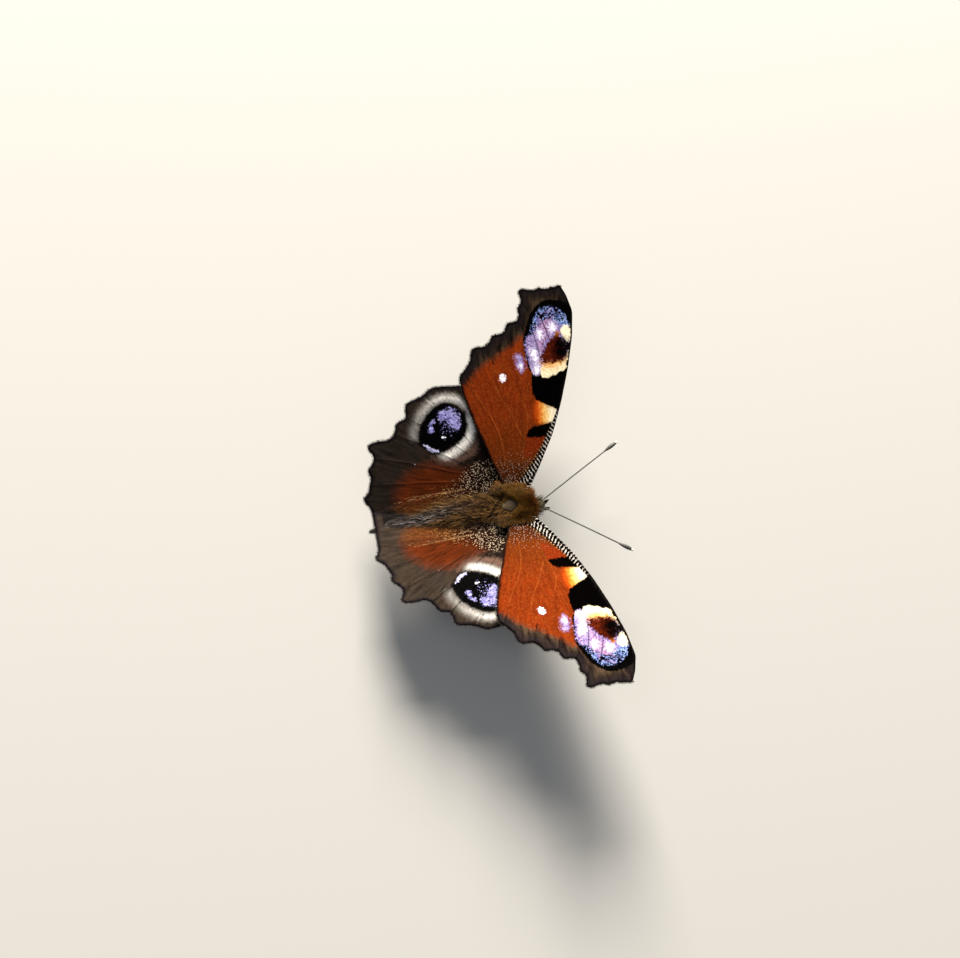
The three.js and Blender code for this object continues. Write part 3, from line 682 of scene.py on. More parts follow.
# Wings. Each is a thin stiff membrane on raised veins, covered on both sides with flat
# overlapping scales that carry all its colours. The sheet takes its outline and veins from the
# frame's wing, thinned to a twelfth of a millimetre, smoothed and given a rim.
WING_ARCH = 0.45
WING_SPAN = 30.0
SLAB_HALF = 0.25
CAD_VEIN_RISE = 0.2
SHEET = 0.12
VEIN_KEEP = 0.4
ROOT_REACH = 1.4
CHART_SIDE = 40.0
WINGS = {
    "forewing_left": dict(hinge=(2.75, 0.51, 1.5), dihedral=18.9, pitch=-1.0, sweep=-2.4),
    "forewing_right": dict(hinge=(2.45, 0.51, 1.5), dihedral=18.9, pitch=-1.0, sweep=-2.1),
    "hindwing_left": dict(hinge=(2.55, 3.79, 0.4), dihedral=18.9, pitch=-1.0, sweep=8.6),
    "hindwing_right": dict(hinge=(2.25, 3.79, 0.4), dihedral=14.4, pitch=1.5, sweep=-1.1),
}


def chart_of(name):
    """Matrix from a wing's chart, outward and forward of its hinge in mm, to the frame."""
    wing = WINGS[name]
    sign = 1 if name.endswith("left") else -1
    out, rear, up = wing["hinge"]
    return (Matrix.Translation(body_middle) @ Matrix.Diagonal((MM, MM, MM, 1))
            @ Matrix.Translation((sign * out, rear, up))
            @ Matrix.Rotation(math.radians(-sign * wing["dihedral"]), 4, "Y")
            @ Matrix.Rotation(math.radians(wing["pitch"]), 4, "X")
            @ Matrix.Rotation(math.radians(sign * wing["sweep"]), 4, "Z")
            @ Matrix.Diagonal((sign, -1, 1, 1)))


def arch(outward):
    """How far the arched wing stands above its chart."""
    return WING_ARCH * math.sin(math.pi * min(max(outward / WING_SPAN, 0), 1))


def wing_sheet(name):
    """Upper face of the frame's wing on its chart in mm, thinned, smoothed and finely split.
    Its vertices keep how much of a vein runs through them."""
    shape = bmesh.new()
    shape.from_mesh(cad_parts[name].data)
    bmesh.ops.remove_doubles(shape, verts=shape.verts, dist=0.00001)
    bmesh.ops.transform(shape, matrix=chart_of(name).inverted(), verts=shape.verts)
    rest = [f for f in shape.faces
            if f.calc_center_median().z - arch(f.calc_center_median().x) < SLAB_HALF * 0.8]
    bmesh.ops.delete(shape, geom=rest, context="FACES")
    vein = shape.verts.layers.float.new("vein")
    for vert in shape.verts:
        lift = vert.co.z - arch(vert.co.x) - SLAB_HALF
        vert[vein] = 0 if vert.is_boundary else lift / CAD_VEIN_RISE
        vert.co.z = arch(vert.co.x) + SHEET / 2 + VEIN_KEEP * lift
        vert.co.x -= ROOT_REACH * max(0, 1 - vert.co.x / 2.5) ** 2
    bmesh.ops.join_triangles(shape, faces=shape.faces, angle_face_threshold=3.0, angle_shape_threshold=3.0)
    long_edges = [e for e in shape.edges if e.calc_length() > 1.1]
    bmesh.ops.subdivide_edges(shape, edges=long_edges, cuts=3, use_grid_fill=True)
    return finished(show(name + "_sheet", shape), ("SUBSURF", {"levels": 2, "render_levels": 2}))


def smooth_outline(points, steps=6):
    """Closed smooth curve through a few places."""
    places = np.array(points, float)
    t = np.arange(steps)[:, None] / steps
    near = (np.roll(places, k, axis=0)[:, None] for k in (1, 0, -1, -2))
    return between(*near, t).reshape(-1, 2)


def from_segments(places, starts, ends):
    """Distance of each place from the nearest of some straight segments."""
    along = ends - starts
    offset = places[:, None] - starts
    share = np.clip((offset * along).sum(2) / (along ** 2).sum(1), 0, 1)
    return np.linalg.norm(offset - share[..., None] * along, axis=2).min(1)


def inside(places, points):
    """How far in mm each place lies inside a smooth outline, negative outside it."""
    starts = smooth_outline(points)
    ends = np.roll(starts, -1, axis=0)
    x, y = places.T[:, :, None]
    run, rise = (ends - starts).T
    slope = run / np.where(rise == 0, 1e-9, rise)
    crossed = ((starts[:, 1] > y) != (ends[:, 1] > y)) & (x < starts[:, 0] + (y - starts[:, 1]) * slope)
    reach = from_segments(places, starts, ends)
    return np.where(crossed.sum(1) % 2, reach, -reach)


def in_spots(places, spots):
    """How far in mm each place lies inside the nearest of some round spots (x, y, radius)."""
    return np.max([r - np.hypot(places[:, 0] - x, places[:, 1] - y) for x, y, r in spots], axis=0)


def on_lines(places, lines, half_width):
    """How far in mm each place lies inside the nearest of some lines."""
    starts = np.array([p for line in lines for p in line[:-1]], float)
    ends = np.array([p for line in lines for p in line[1:]], float)
    return half_width - from_segments(places, starts, ends)


# Markings of the forewing, on its chart
COSTA = [(0.1, 1.95), (1.4, 3.1), (4, 4.75), (9.1, 6.95), (16.2, 9.0), (22, 10.2), (25.4, 10.45)]
FORE_OUTLINES = {
    "field": [(-4, -9), (-4, 6), (4, 8), (16, 12), (22, 12.5), (25, 10.2), (26.3, 8.6), (26.5, 7.2),
        (26.3, 5.9), (25, 4.5), (23.4, 3.6), (22.1, 2.9), (21.8, 2), (21, 1.2), (20.4, 0.3), (20, -0.5),
        (19.2, -1.5), (18.8, -2.6), (18, -3.6), (17, -4.7), (16, -5.5), (14.5, -7.5), (11, -10)],
    "cell": [(4.2, 2.0), (6, 2.2), (7.9, 2.5), (7.6, 4.4), (6.8, 5.2), (5.2, 4.0)],
    "first_bar": [(6.9, 5.7), (8.0, 6.4), (9.1, 6.5), (9.05, 5.6), (8.9, 4.8), (8.75, 3.8), (8.5, 3.1),
        (7.9, 2.5), (7.45, 2.4), (7.15, 2.9), (7.1, 3.9), (7.05, 5.0)],
    "yellow": [(9.1, 6.6), (10.0, 7.3), (11.2, 7.6), (11.4, 6.5), (11.8, 5.6), (12.4, 4.6), (12.3, 3.8),
        (11.4, 3.4), (10.3, 3.4), (9.3, 3.8), (9.05, 4.6), (9.05, 5.5)],
    "second_bar": [(11.15, 7.6), (11.5, 6.4), (11.9, 5.5), (12.4, 4.55), (12.8, 4.0), (13.6, 3.7),
        (15, 3.6), (16.3, 3.65), (16.6, 4.2), (16.4, 5.3), (16.1, 5.9), (16.4, 6.9), (16.8, 8.1),
        (17.4, 9.7), (14, 9.3)],
    "ring": [(16.9, 3.55), (18.5, 3.1), (20, 2.85), (21.5, 2.75), (22.6, 3.0), (24, 3.5), (25.4, 4.15),
        (26.5, 5.0), (27.15, 6.1), (27.3, 7.1), (27.2, 8.3), (26.8, 9.4), (25.9, 10.4), (24, 10.6),
        (21, 9.6), (18, 6)],
    "lilac": [(16.1, 4.4), (16.6, 3.9), (17.5, 3.6), (18.6, 3.25), (20, 3.02), (21.2, 3.0), (22.2, 3.4),
        (23, 3.9), (24, 4.25), (25, 4.75), (25.8, 5.4), (26.3, 6.2), (26.35, 7.1), (26.1, 8), (25.6, 8.7),
        (24.9, 9.25), (24.1, 9.6), (22.5, 10.1), (21, 9.9), (19.5, 9.7), (18.3, 8.8), (17.6, 7),
        (16.6, 5.4)],
    "purple": [(20.4, 5.6), (21.8, 6.5), (22.8, 7.0), (24.2, 7.3), (24.7, 6.3), (23.8, 5.4), (22.9, 4.9),
        (21.3, 4.8), (20, 4.9), (18.6, 5.2)],
    "blue": [(22.9, 10.2), (23.2, 9), (23.5, 8.1), (24.1, 7.4), (24.6, 7.2), (25.1, 7.4), (26, 7.3),
        (25.5, 6.6), (25.4, 5.9), (25.0, 5.4), (24.1, 5.0), (23.2, 4.5), (23.6, 3.9), (25.3, 4.5),
        (26.3, 5.2), (26.9, 6.4), (26.8, 7.8), (26.3, 9), (25.2, 9.9), (24, 10.4)],
    "gulf": [(22.2, 3.1), (23.4, 4.05), (24.0, 4.6), (23.3, 4.9), (24.3, 5.4), (25.2, 5.2), (25.5, 5.9),
        (25.4, 6.8), (25.9, 7.3), (26.4, 7.7), (26.3, 8.4), (25.5, 9.2), (25.2, 8.5), (25.0, 7.6),
        (24.5, 6.9), (24.3, 6.0), (23.2, 5.2), (22.7, 4.5), (22.2, 4.0)],
    "cream": [(16.1, 5.1), (15.8, 6.0), (16.1, 6.9), (16.55, 8.0), (17.2, 9.4), (18, 10.0), (19.9, 10.0),
        (19.9, 9.4), (18.9, 9.1), (18.2, 8.6), (18.0, 7.6), (17.9, 6.7), (17.75, 5.6), (17.1, 5.0)],
    "golden": [(17.5, 5.7), (17.5, 7.0), (17.8, 8.1), (18.6, 8.9), (19.1, 8.4), (18.7, 7.4), (18.5, 6.4),
        (18.3, 5.6)],
    "pupil": [(17.85, 5.6), (17.95, 6.6), (18.05, 7.6), (18.3, 8.5), (19.1, 9.0), (20.2, 9.15),
        (20.9, 9.05), (21.4, 8.6), (22.0, 8.3), (22.65, 8.1), (22.4, 7.7), (21.9, 7.3), (21.4, 6.8),
        (20.9, 6.3), (20.1, 5.8), (19.3, 5.45), (18.5, 5.3)],
    "bridge": [(19.0, 8.8), (19.6, 9.5), (19.6, 10.2), (21, 10.3), (20.9, 9.4), (21.3, 8.7)],
    "pale": [(20.8, 9.2), (21, 9.9), (22, 10.1), (23, 10.0), (23.4, 9.6), (23.3, 9.0), (22.8, 8.6),
        (22.2, 8.5), (21.5, 8.8)],
    "lilac_spot": [(16.8, 2.2), (17.2, 2.6), (18, 2.65), (18.9, 2.35), (19.5, 1.85), (19.4, 1.5),
        (18.7, 1.4), (17.8, 1.55), (17.1, 1.85)],
    "white_spot": [(15.45, -0.75), (15.65, -0.35), (16.05, -0.2), (16.45, -0.35), (16.65, -0.7),
        (16.4, -1.05), (16, -1.2), (15.6, -1.05)],
}
FORE_SPOTS = {
    "pupil_heart": [(19.5, 8.3, 1.25), (20.6, 8.35, 1.1)],
    "glints": [(23.3, 7.15, 0.35), (22.9, 7.3, 0.2), (22.1, 5.3, 0.27), (22.5, 5.35, 0.2),
        (19.4, 4.25, 0.4), (18.8, 4.4, 0.33), (19.9, 4.15, 0.25), (17.8, 2.15, 0.25), (16.9, 4.5, 0.4),
        (17.4, 4.7, 0.3)],
}
FORE_LINES = {
    "dark_lines": [[(21.2, 6.8), (24.8, 5.6)], [(18.2, 5.2), (20.5, 4.8), (22.5, 4.3)], [(25.8, 3.8),
        (27.6, 2.8)], [(22.8, 3), (24.4, 2.1)], [(20.5, 0.8), (22.9, 0)], [(18, -1.8), (20.7, -2.8)],
        [(27.5, 6.3), (29.1, 5.4)], [(27.3, 8), (29.2, 7.5)], [(27, 9.2), (29.3, 8.7)]],
    "light_lines": [[(3.8, 1.7), (7.4, 2.1), (9, 2.6), (10.5, 2.75), (12.4, 2.1)], [(7.4, 1.7), (9, 1),
        (11, 0.1), (14, -1.5), (16, -2.2)], [(3.5, -1), (7, -1.4), (9.4, -2.2), (14, -4.9)]],
}

# Markings of the hindwing, on its chart
HIND_OUTLINES = {
    "field": [(0.6, -1.5), (2.6, -1.2), (4.3, -2.0), (5.3, -4.5), (6.2, -6.2), (6.7, -8), (6.6, -9.6),
        (6.2, -11.2), (5.2, -12.6), (4.0, -13.7), (2.6, -14.3), (1.0, -14.3), (-0.6, -13.4), (-3, -11.5),
        (-3, -6), (-1.5, -2.5)],
    "blush": [(5.4, 0.6), (8, 0.4), (7.2, -1.6), (6.5, -3), (6.3, -4.5), (6.8, -6.2), (7.4, -7.3),
        (6.3, -6.4), (5.6, -4.8), (5.3, -2.5)],
    "shade": [(4.7, 1.2), (6, 1.6), (7.5, 1.0), (9.2, 0.5), (7.4, -0.1), (6.2, -0.7), (5.7, -2),
        (5.5, -3.4), (5.2, -3.6), (4.95, -2)],
    "inner_ring": [(12.5, -0.15), (11, 0.15), (9.6, 0.05), (8.2, -0.65), (7.2, -1.8), (6.55, -3),
        (6.3, -4.2), (6.4, -5.3), (6.9, -6.3), (7.6, -6.8), (7.5, -5.6), (7.55, -4.4), (8.0, -3.3),
        (8.6, -2.3), (9.4, -1.4), (10.4, -0.9), (11.5, -0.75)],
    "outer_ring": [(13.2, -0.3), (14.7, -0.7), (15.6, -1.8), (15.95, -3.2), (15.9, -4.6), (15.6, -6),
        (15.1, -7.2), (14.2, -8.2), (12.9, -9.1), (11.6, -9.9), (10.6, -9.7), (10.2, -8.6), (11.4, -8.2),
        (12.6, -7.4), (13.6, -6.4), (14.4, -5.2), (14.8, -4), (14.6, -2.6), (13.9, -1.4), (12.8, -0.8)],
    "eye": [(11.3, -0.95), (12.6, -1.15), (13.7, -1.9), (14.4, -3), (14.6, -4), (14.3, -5.1),
        (13.6, -6.2), (12.6, -7.3), (11.6, -8), (10.5, -8.4), (9.4, -8.35), (8.4, -7.8), (7.7, -6.9),
        (7.55, -5.8), (7.75, -4.8), (8.2, -3.5), (8.8, -2.2), (10, -1.2)],
    "violet": [(10.3, -2.2), (11, -1.8), (12, -1.65), (12.8, -1.85), (13.4, -2.5), (13.75, -3.5),
        (13.5, -4.5), (12.9, -5.0), (12.3, -4.7), (12.1, -4.2), (11.3, -3.8), (10.5, -3.3), (10.2, -2.8)],
    "specks": [(9.5, -3.1), (10.4, -3.3), (11.4, -3.8), (12.3, -4.6), (12.0, -5.1), (10.9, -5.2),
        (9.8, -5.3), (9.1, -4.7), (9.1, -3.7)],
    "second_violet": [(10.7, -6.2), (11.2, -6.05), (11.8, -6.0), (12.2, -5.6), (12.6, -5.6), (12.5, -6.0),
        (12, -6.3), (11.4, -6.75), (11, -6.75)],
    "arc": [(7.75, -5.95), (8.05, -6.1), (8.35, -6.75), (8.95, -7.35), (9.4, -7.7), (9.3, -7.95),
        (8.7, -7.75), (8.15, -7.15), (7.8, -6.5)],
    "base": [(-3, 3), (3, 2.8), (6.2, 1.6), (6.2, -0.4), (5.0, -2.3), (3.4, -4.7), (2.3, -7), (1.2, -9.3),
        (0.4, -9.9), (-0.2, -9), (-0.5, -6), (-1.5, -3), (-3, 0)],
}
HIND_SPOTS = {"white_dots": [(9.7, -4.95, 0.14), (9.6, -4.6, 0.06), (6.9, -9.95, 0.02)]}
HIND_LINES = {
    "dark_lines": [[(14.8, -5.0), (16.4, -6.0)], [(12.3, -7.7), (13.9, -9.5)], [(9.5, -8.3),
        (11.8, -11.8)], [(7, -10.2), (8.9, -14.8)], [(4.4, -12), (5.5, -16.8)], [(2.6, -13.5),
        (1.6, -17.6)]],
    "light_lines": [[(1.5, -4), (2.4, -12.5)]],
}


def rim_of(mesh):
    """Vertex pairs of a sheet's open edges, and the directions in its chart that lead off it."""
    edge_of = read(mesh.loops, "edge_index", kind=np.int64)
    sizes = read(mesh.polygons, "loop_total", kind=np.int64)
    middles = np.repeat(read(mesh.polygons, "center", 3), sizes, axis=0)
    places = read(mesh.vertices, "co", 3)
    open_loops = np.flatnonzero(np.bincount(edge_of)[edge_of] == 1)
    pairs = read(mesh.edges, "vertices", 2, np.int64)[edge_of[open_loops]]
    along = places[pairs[:, 1]] - places[pairs[:, 0]]
    off = np.stack([along[:, 1], -along[:, 0], 0 * along[:, 2]], 1)
    outward = places[pairs].mean(1) - middles[open_loops]
    off *= np.sign((off * outward).sum(1))[:, None]
    return pairs, unit(off)


RIGHT_SLIP = 0.75
LINE_HALF_WIDTH = 0.07
RAY_STEPS = (34, 0.35)


def drawn(name):
    """Sheet of a wing on its chart, its markings kept as fields in mm on its vertices. The right
    forewing's markings lie a little further out than the left one's."""
    piece = wing_sheet(name)
    mesh = piece.data
    chart = read(mesh.vertices, "co", 3)[:, :2]
    fore = name.startswith("fore")
    if name == "forewing_right":
        slip = RIGHT_SLIP * np.clip((chart[:, 1] + 1) / 4, 0, 1) * np.clip(chart[:, 0] / 5, 0, 1)
        slip *= np.clip((26.5 - chart[:, 0]) / 6, 0, 1)
        chart = chart - np.c_[slip, 0 * slip]
    outlines = FORE_OUTLINES if fore else HIND_OUTLINES
    spots = FORE_SPOTS if fore else HIND_SPOTS
    lines = FORE_LINES if fore else HIND_LINES
    fields = {key: inside(chart, points) for key, points in outlines.items()}
    fields |= {key: in_spots(chart, spotted) for key, spotted in spots.items()}
    fields |= {key: on_lines(chart, drawn_lines, LINE_HALF_WIDTH) for key, drawn_lines in lines.items()}
    rim = np.unique(rim_of(mesh)[0])
    near = KDTree(len(rim))
    for k in rim:
        near.insert((*chart[k], 0), int(k))
    near.balance()
    fields["margin"] = np.array([near.find((x, y, 0))[2] for x, y in chart])
    if fore:
        costa = curve_through(COSTA, 60)
        gaps = np.linalg.norm(chart[:, None] - costa, axis=2)
        step = np.linalg.norm(np.diff(costa, axis=0), axis=1).mean()
        nearest = gaps.argmin(1)
        tangent = np.gradient(costa, axis=0)[nearest]
        tangent /= np.linalg.norm(tangent, axis=1)[:, None]
        fields["costa_run"] = nearest * step + ((chart - costa[nearest]) * tangent).sum(1)
        fields["costa_off"] = gaps.min(1)
    level = np.zeros(len(chart))
    fields["chart"] = np.c_[chart, level]
    turn, reach = np.arctan2(*chart.T[::-1]), np.hypot(*chart.T)
    fields["ray"] = np.c_[turn * RAY_STEPS[0], reach * RAY_STEPS[1], level]
    for key, values in fields.items():
        store(mesh, key, values)
    return piece


SCALE = 0.15
FLECK = 0.2
LADDER_STEP = 0.57
LADDER_END = 12.4
RIB_BREADTH = 0.34


class Scales:
    """The grain of a wing's scales, and colours laid over each other scale by scale. Scales of
    about 0.1 mm are drawn at 0.15 mm, and flecks of pale ones at 0.2 mm, so that they show."""

    def __init__(self, add):
        self.add = add
        self.chart = add("Attribute", attribute_name="chart", output="Vector")
        self.ray = add("Attribute", attribute_name="ray", output="Vector")
        self.out, self.ahead, _ = add("SeparateXYZ", self.chart).node.outputs
        self.cells = add("TexVoronoi", self.chart, 1 / SCALE)
        chance = add("SeparateColor", self.cells.node.outputs["Color"])
        self.chance, self.second_chance, self.third_chance = chance.node.outputs
        flecks = add("TexVoronoi", self.chart, 1 / FLECK)
        self.fleck, self.fleck_tone, _ = add("SeparateColor", flecks.node.outputs["Color"]).node.outputs
        self.dot = add("LESS_THAN", flecks, 0.36)
        swing = add("MULTIPLY_ADD", add("TexNoise", self.chart, 1.6, 2.0), 3.0, -1.5)
        ragged = add("MULTIPLY_ADD", self.fleck, 1.2, add("ADD", swing, -1.0))
        self.jitter = add("MULTIPLY_ADD", self.chance, 0.8, ragged)
        self.streak = add("TexNoise", self.ray, 1.0, 4.0)
        self.cloud = add("TexNoise", self.chart, 0.45, 2.0)

    def sprinkle(self, density):
        """Single pale scales apart from each other, more of them where the density is higher."""
        return self.add("MULTIPLY", self.add("GREATER_THAN", density, self.fleck), self.dot)

    def mask(self, name, ragged=0.12, soft=0.05, shift=0.0):
        """Where a marking lies: ragged moves its edge from scale to scale, soft blends it."""
        level = self.add("MULTIPLY_ADD", self.jitter, ragged, name)
        return self.add("MapRange", level, -soft - shift, soft - shift)

    def lay(self, paint, *markings):
        """Colours of markings over the paint. Each is a name and a colour, and where they differ
        from the usual, how ragged, how soft and how strong it is, and how far it reaches out."""
        for name, colour, *ways in markings:
            usual = (0.12, 0.05, 1.0, 0.0)
            ragged, soft, share, shift = (*ways, *usual[len(ways):])
            mask = self.mask(name, ragged, soft, shift)
            if share != 1.0:
                mask = self.add("MULTIPLY", mask, share)
            paint = self.add("Mix", mask, paint, colour)
        return paint

    def finish(self, shader, paint, field=None):
        """Scales shade a little one by one and lie like shingles. They are matt, but the dark
        ones outside the red field have a faint sheen of their own colour."""
        shade = (self.second_chance, 0, 1, 0.78, 1.18)
        fill(shader, {
            "Base Color": self.add("Mix", 1.0, paint, shade, blend_type="MULTIPLY"),
            "Normal": self.add("Bump", 0.35, 0.00002, None, self.cells),
            "Roughness": 0.5,
            "Specular IOR Level": 0.0,
        })
        if field:
            dark = (self.add("RGBToBW", paint), 0.04, 0.09, 0.25, 0.0)
            fill(shader, {"Metallic": self.add("MULTIPLY", dark, (field, 0, 1, 1.0, 0.0))})


# Forewing scales: velvety red-brown with black, cream and yellow patches and an eye-spot of
# lilac and blue scales scattered over black near the tip
forewing_scales, add, shader = new_material("forewing scales")
grain = Scales(add)
red = add("Mix", (grain.streak, 0.3, 0.7), "#622108", "#82310d")
red = add("Mix", (grain.cloud, 0.35, 0.75, 0, 0.55), red, "#561c07")
red = add("Mix", (grain.out, 11.0, 3.0, 0, 0.75), red, "#4d250a")
red = grain.lay(red, ("cell", "#70210a", 0.1, 0.15, 0.7))
red = add("Mix", (grain.third_chance, 0.82, 0.86, 0, 0.14), red, "#b5692a")
red = grain.lay(red, ("light_lines", "#a85a22", 0.05, 0.05, 0.28))
red = add("Mix", ("vein", 0.5, 1.1, 0, 0.35), red, "#4d1c08")
band = add("Mix", (grain.streak, 0.35, 0.65), "#100c09", "#2f251c")
band = add("Mix", ("margin", 0.3, 1.5, 0.75, 0), band, "#1a151a")
tan = add("MULTIPLY", ("margin", 1.0, 2.2, 0, 0.7), (grain.streak, 0.4, 0.6))
band = add("Mix", tan, band, "#4a3b2c")
band = add("Mix", (grain.fleck, 0.75, 0.8, 0, 0.35), band, "#0e0c0a")
band = add("Mix", ("vein", 0.4, 0.9, 0, 0.85), band, "#100d0a")
band = add("Mix", ("costa_off", 2.8, 1.2, 0, 0.8), band, "#0a0807")
field = grain.mask("field", 0.35, 0.45)
paint = add("Mix", field, band, red)
near_root = add("MULTIPLY_ADD", grain.jitter, 0.8, grain.out)
paint = add("Mix", (near_root, 4.4, 1.4), paint, add("Mix", 0.8, paint, "#1d1009"))
dust = grain.sprinkle((near_root, 0.8, 5.2, 0.85, 0.0))
paint = add("Mix", add("MULTIPLY", dust, 0.8), paint, "#94796a")
height = add("MULTIPLY_ADD", grain.jitter, 0.22, grain.ahead)
yellow = add("Mix", (height, 3.4, 4.5), "#7d2a0a", "#c24c10")
yellow = add("Mix", (height, 4.3, 5.2), yellow, "#e39a3c")
yellow = add("Mix", (height, 4.9, 5.7), yellow, "#ebc684")
yellow = add("Mix", (height, 5.6, 6.5), yellow, "#f0e3c2")
lilac = add("Mix", grain.fleck_tone, "#5f4e86", "#a896c2")
lilac = add("Mix", (grain.third_chance, 0.84, 0.86, 0, 0.6), lilac, "#4a2f52")
purple = add("Mix", grain.fleck_tone, "#66456a", "#b594bf")
blue = add("Mix", grain.fleck_tone, "#455aa0", "#9db2e2")
outer = add("MULTIPLY_ADD", grain.ahead, 0.35, grain.out)
gaps = add("GREATER_THAN", grain.third_chance, (outer, 26.0, 29.0, 0.72, 0.3))
blue = add("Mix", gaps, blue, "#090a18")
black = add("Mix", (grain.third_chance, 0.8, 0.82), "#070609", "#7f8ccb")
eye_spot = grain.lay(
    lilac,
    ("purple", purple, 0.35, 0.15),
    ("blue", blue, 0.35, 0.1),
    ("gulf", black, 0.25),
    ("glints", "#c9bddc", 0.4, 0.3, 1.0, 0.35),
    ("glints", "#f6f2fa", 0.3, 0.15),
)
maroon = add("Mix", grain.fleck_tone, "#2c0b05", "#5c1d0a")
maroon = add("Mix", (grain.out, 21.6, 22.5), maroon, "#a5622a")
small_spot = add("Mix", grain.fleck_tone, "#7f74b4", "#bdb0dc")
paint = grain.lay(
    paint,
    ("yellow", yellow, 0.18, 0.4),
    ("second_bar", "#030202"),
    ("first_bar", "#040302", 0.16),
    ("ring", "#030303", 0.14),
    ("lilac", eye_spot, 0.25),
    ("cream", "#f1e1b9", 0.16, 0.08),
    ("golden", "#dd9a44", 0.4, 0.6, 0.9, 0.25),
    ("pale", "#f3e6c6", 0.25, 0.1),
    ("pupil", maroon, 0.35, 0.12),
    ("pupil_heart", "#050303", 0.35, 0.6),
    ("bridge", "#070504", 0.35),
    ("lilac_spot", small_spot, 0.32, 0.3, 0.88),
    ("white_spot", "#f1e9f1", 0.2, 0.1),
)
glint = add("MULTIPLY", grain.mask("glints", 0.25, 0.12), grain.mask("lilac_spot"))
paint = grain.lay(add("Mix", glint, paint, "#f6f2fa"), ("dark_lines", "#140d0c", 0.05, 0.05, 0.8))
slant = add("MULTIPLY_ADD", "costa_off", -0.55, "costa_run")
slant = add("MULTIPLY_ADD", grain.jitter, 0.06, slant)
warped = add("MULTIPLY_ADD", add("TexNoise", grain.chart, 2.2, 1.0), 0.5, slant)
bars = add("SINE", add("MULTIPLY", warped, 2 * math.pi / LADDER_STEP))
ladder = add("Mix", (bars, 0.46, 0.78), "#030303", "#b1aaa0")
ladder = add("Mix", ("costa_off", 0.24, 0.14, 0, 0.9), ladder, "#050404")
breadth = add("SUBTRACT", ("costa_run", 2.0, 11.8, 1.55, 0.5), "costa_off")
breadth = add("MINIMUM", breadth, add("SUBTRACT", LADDER_END, "costa_run"))
dashes = add("MULTIPLY", (bars, 0.3, 0.6), (breadth, 0.3, 0.24, 0, 0.6))
inner_strip = add("SUBTRACT", ("costa_run", 5.0, 9.0, 0.45, 0.0), breadth)
ladder = add("Mix", (inner_strip, -0.03, 0.03), ladder, add("Mix", dashes, "#1c0c07", "#b0885f"))
paint = add("Mix", (breadth, -0.02, 0.06), paint, ladder)
rib = add("MINIMUM", add("SUBTRACT", RIB_BREADTH, "costa_off"), add("SUBTRACT", "costa_run", 12.0))
paint = add("Mix", (add("MULTIPLY_ADD", grain.jitter, 0.12, rib), 0, 0.05), paint, "#0c0a09")
edge = add("MULTIPLY_ADD", grain.jitter, 0.08, "margin")
past_costa = add("MULTIPLY", (edge, 0.45, 0.15), ("costa_off", 0.5, 1.0))
paint = add("Mix", add("MULTIPLY", past_costa, 0.92), paint, "#0b0908")
grain.finish(shader, paint, field)

# Hindwing scales: grey-brown with a red-brown field and a black eye-spot that holds violet
# scales inside a cream ring
hindwing_scales, add, shader = new_material("hindwing scales")
grain = Scales(add)
ground = add("Mix", (grain.streak, 0.3, 0.7), "#15120f", "#2c2520")
ground = add("Mix", (grain.cloud, 0.3, 0.75, 0, 0.3), ground, "#382c1f")
red = add("Mix", (grain.streak, 0.2, 0.75), "#241108", "#5f270d")
gold = add("Mix", (add("TexNoise", grain.ray, 3.0, 3.0), 0.35, 0.65), "#2e1a0c", "#714624")
red = add("Mix", (grain.out, 2.4, 0.9, 0, 0.65), red, gold)
field = grain.mask("field", 0.45, 1.1, shift=-0.25)
paint = add("Mix", field, ground, red)
dusty = add("Mix", (grain.ahead, -8.0, -2.5, 0.35, 0.9), paint, "#120a07")
paint = grain.lay(paint, ("base", dusty, 0.5, 0.8, 1.0, -0.5))
dust = add("MULTIPLY", grain.sprinkle(("base", -0.2, 1.3, 0.1, 0.78)), ("base", -0.5, -0.2))
dust_colour = add("Mix", (grain.ahead, -7.5, -3.0), "#a37a40", "#b39f86")
paint = add("Mix", add("MULTIPLY", dust, 0.9), paint, dust_colour)
paint = grain.lay(paint, ("blush", "#5b453b", 0.2, 0.4, 0.8), ("shade", "#0b0807", 0.25, 0.3, 0.95))
ring = add("Mix", (grain.streak, 0.3, 0.7), "#c4beb4", "#f1eee8")
ring = add("Mix", ("eye", -0.8, -1.9, 0, 0.9), ring, "#5d4f45")
inner = add("MULTIPLY", grain.mask("inner_ring", 0.2, 0.4), (grain.ahead, -6.6, -4.8))
paint = add("Mix", inner, paint, ring)
outer = grain.mask("outer_ring", 0.2, 0.55, shift=-0.1)
outer = add("MULTIPLY", outer, (grain.ahead, -8.5, -3.2, 0.25, 1.0))
paint = add("Mix", outer, paint, ring)
paint = grain.lay(
    paint,
    ("dark_lines", "#120d0b", 0.05, 0.05, 0.8),
    ("light_lines", "#96714a", 0.12, 0.05, 0.5),
)
paint = add("Mix", ("vein", 0.4, 0.9, 0, 0.5), paint, "#1a130f")
violet = add("Mix", grain.fleck_tone, "#5f5c9c", "#aba7da")
violet = add("Mix", (grain.fleck, 0.86, 0.88, 0, 0.8), violet, "#16141f")
paint = grain.lay(
    paint,
    ("eye", "#040404", 0.3, 0.15),
    ("violet", violet, 0.42, 0.05, 1.0, -0.1),
    ("second_violet", violet, 0.25),
    ("arc", add("Mix", grain.second_chance, "#7a77a0", "#c6c3e2"), 0.15),
)
sprinkled = grain.sprinkle(("specks", -0.2, 0.6, 0.05, 0.6))
sprinkled = add("MULTIPLY", sprinkled, grain.mask("specks", 0.3, 0.3))
paint = grain.lay(add("Mix", sprinkled, paint, violet), ("white_dots", "#f4f0f4", 0.1))
edge = add("MULTIPLY_ADD", grain.jitter, 0.12, "margin")
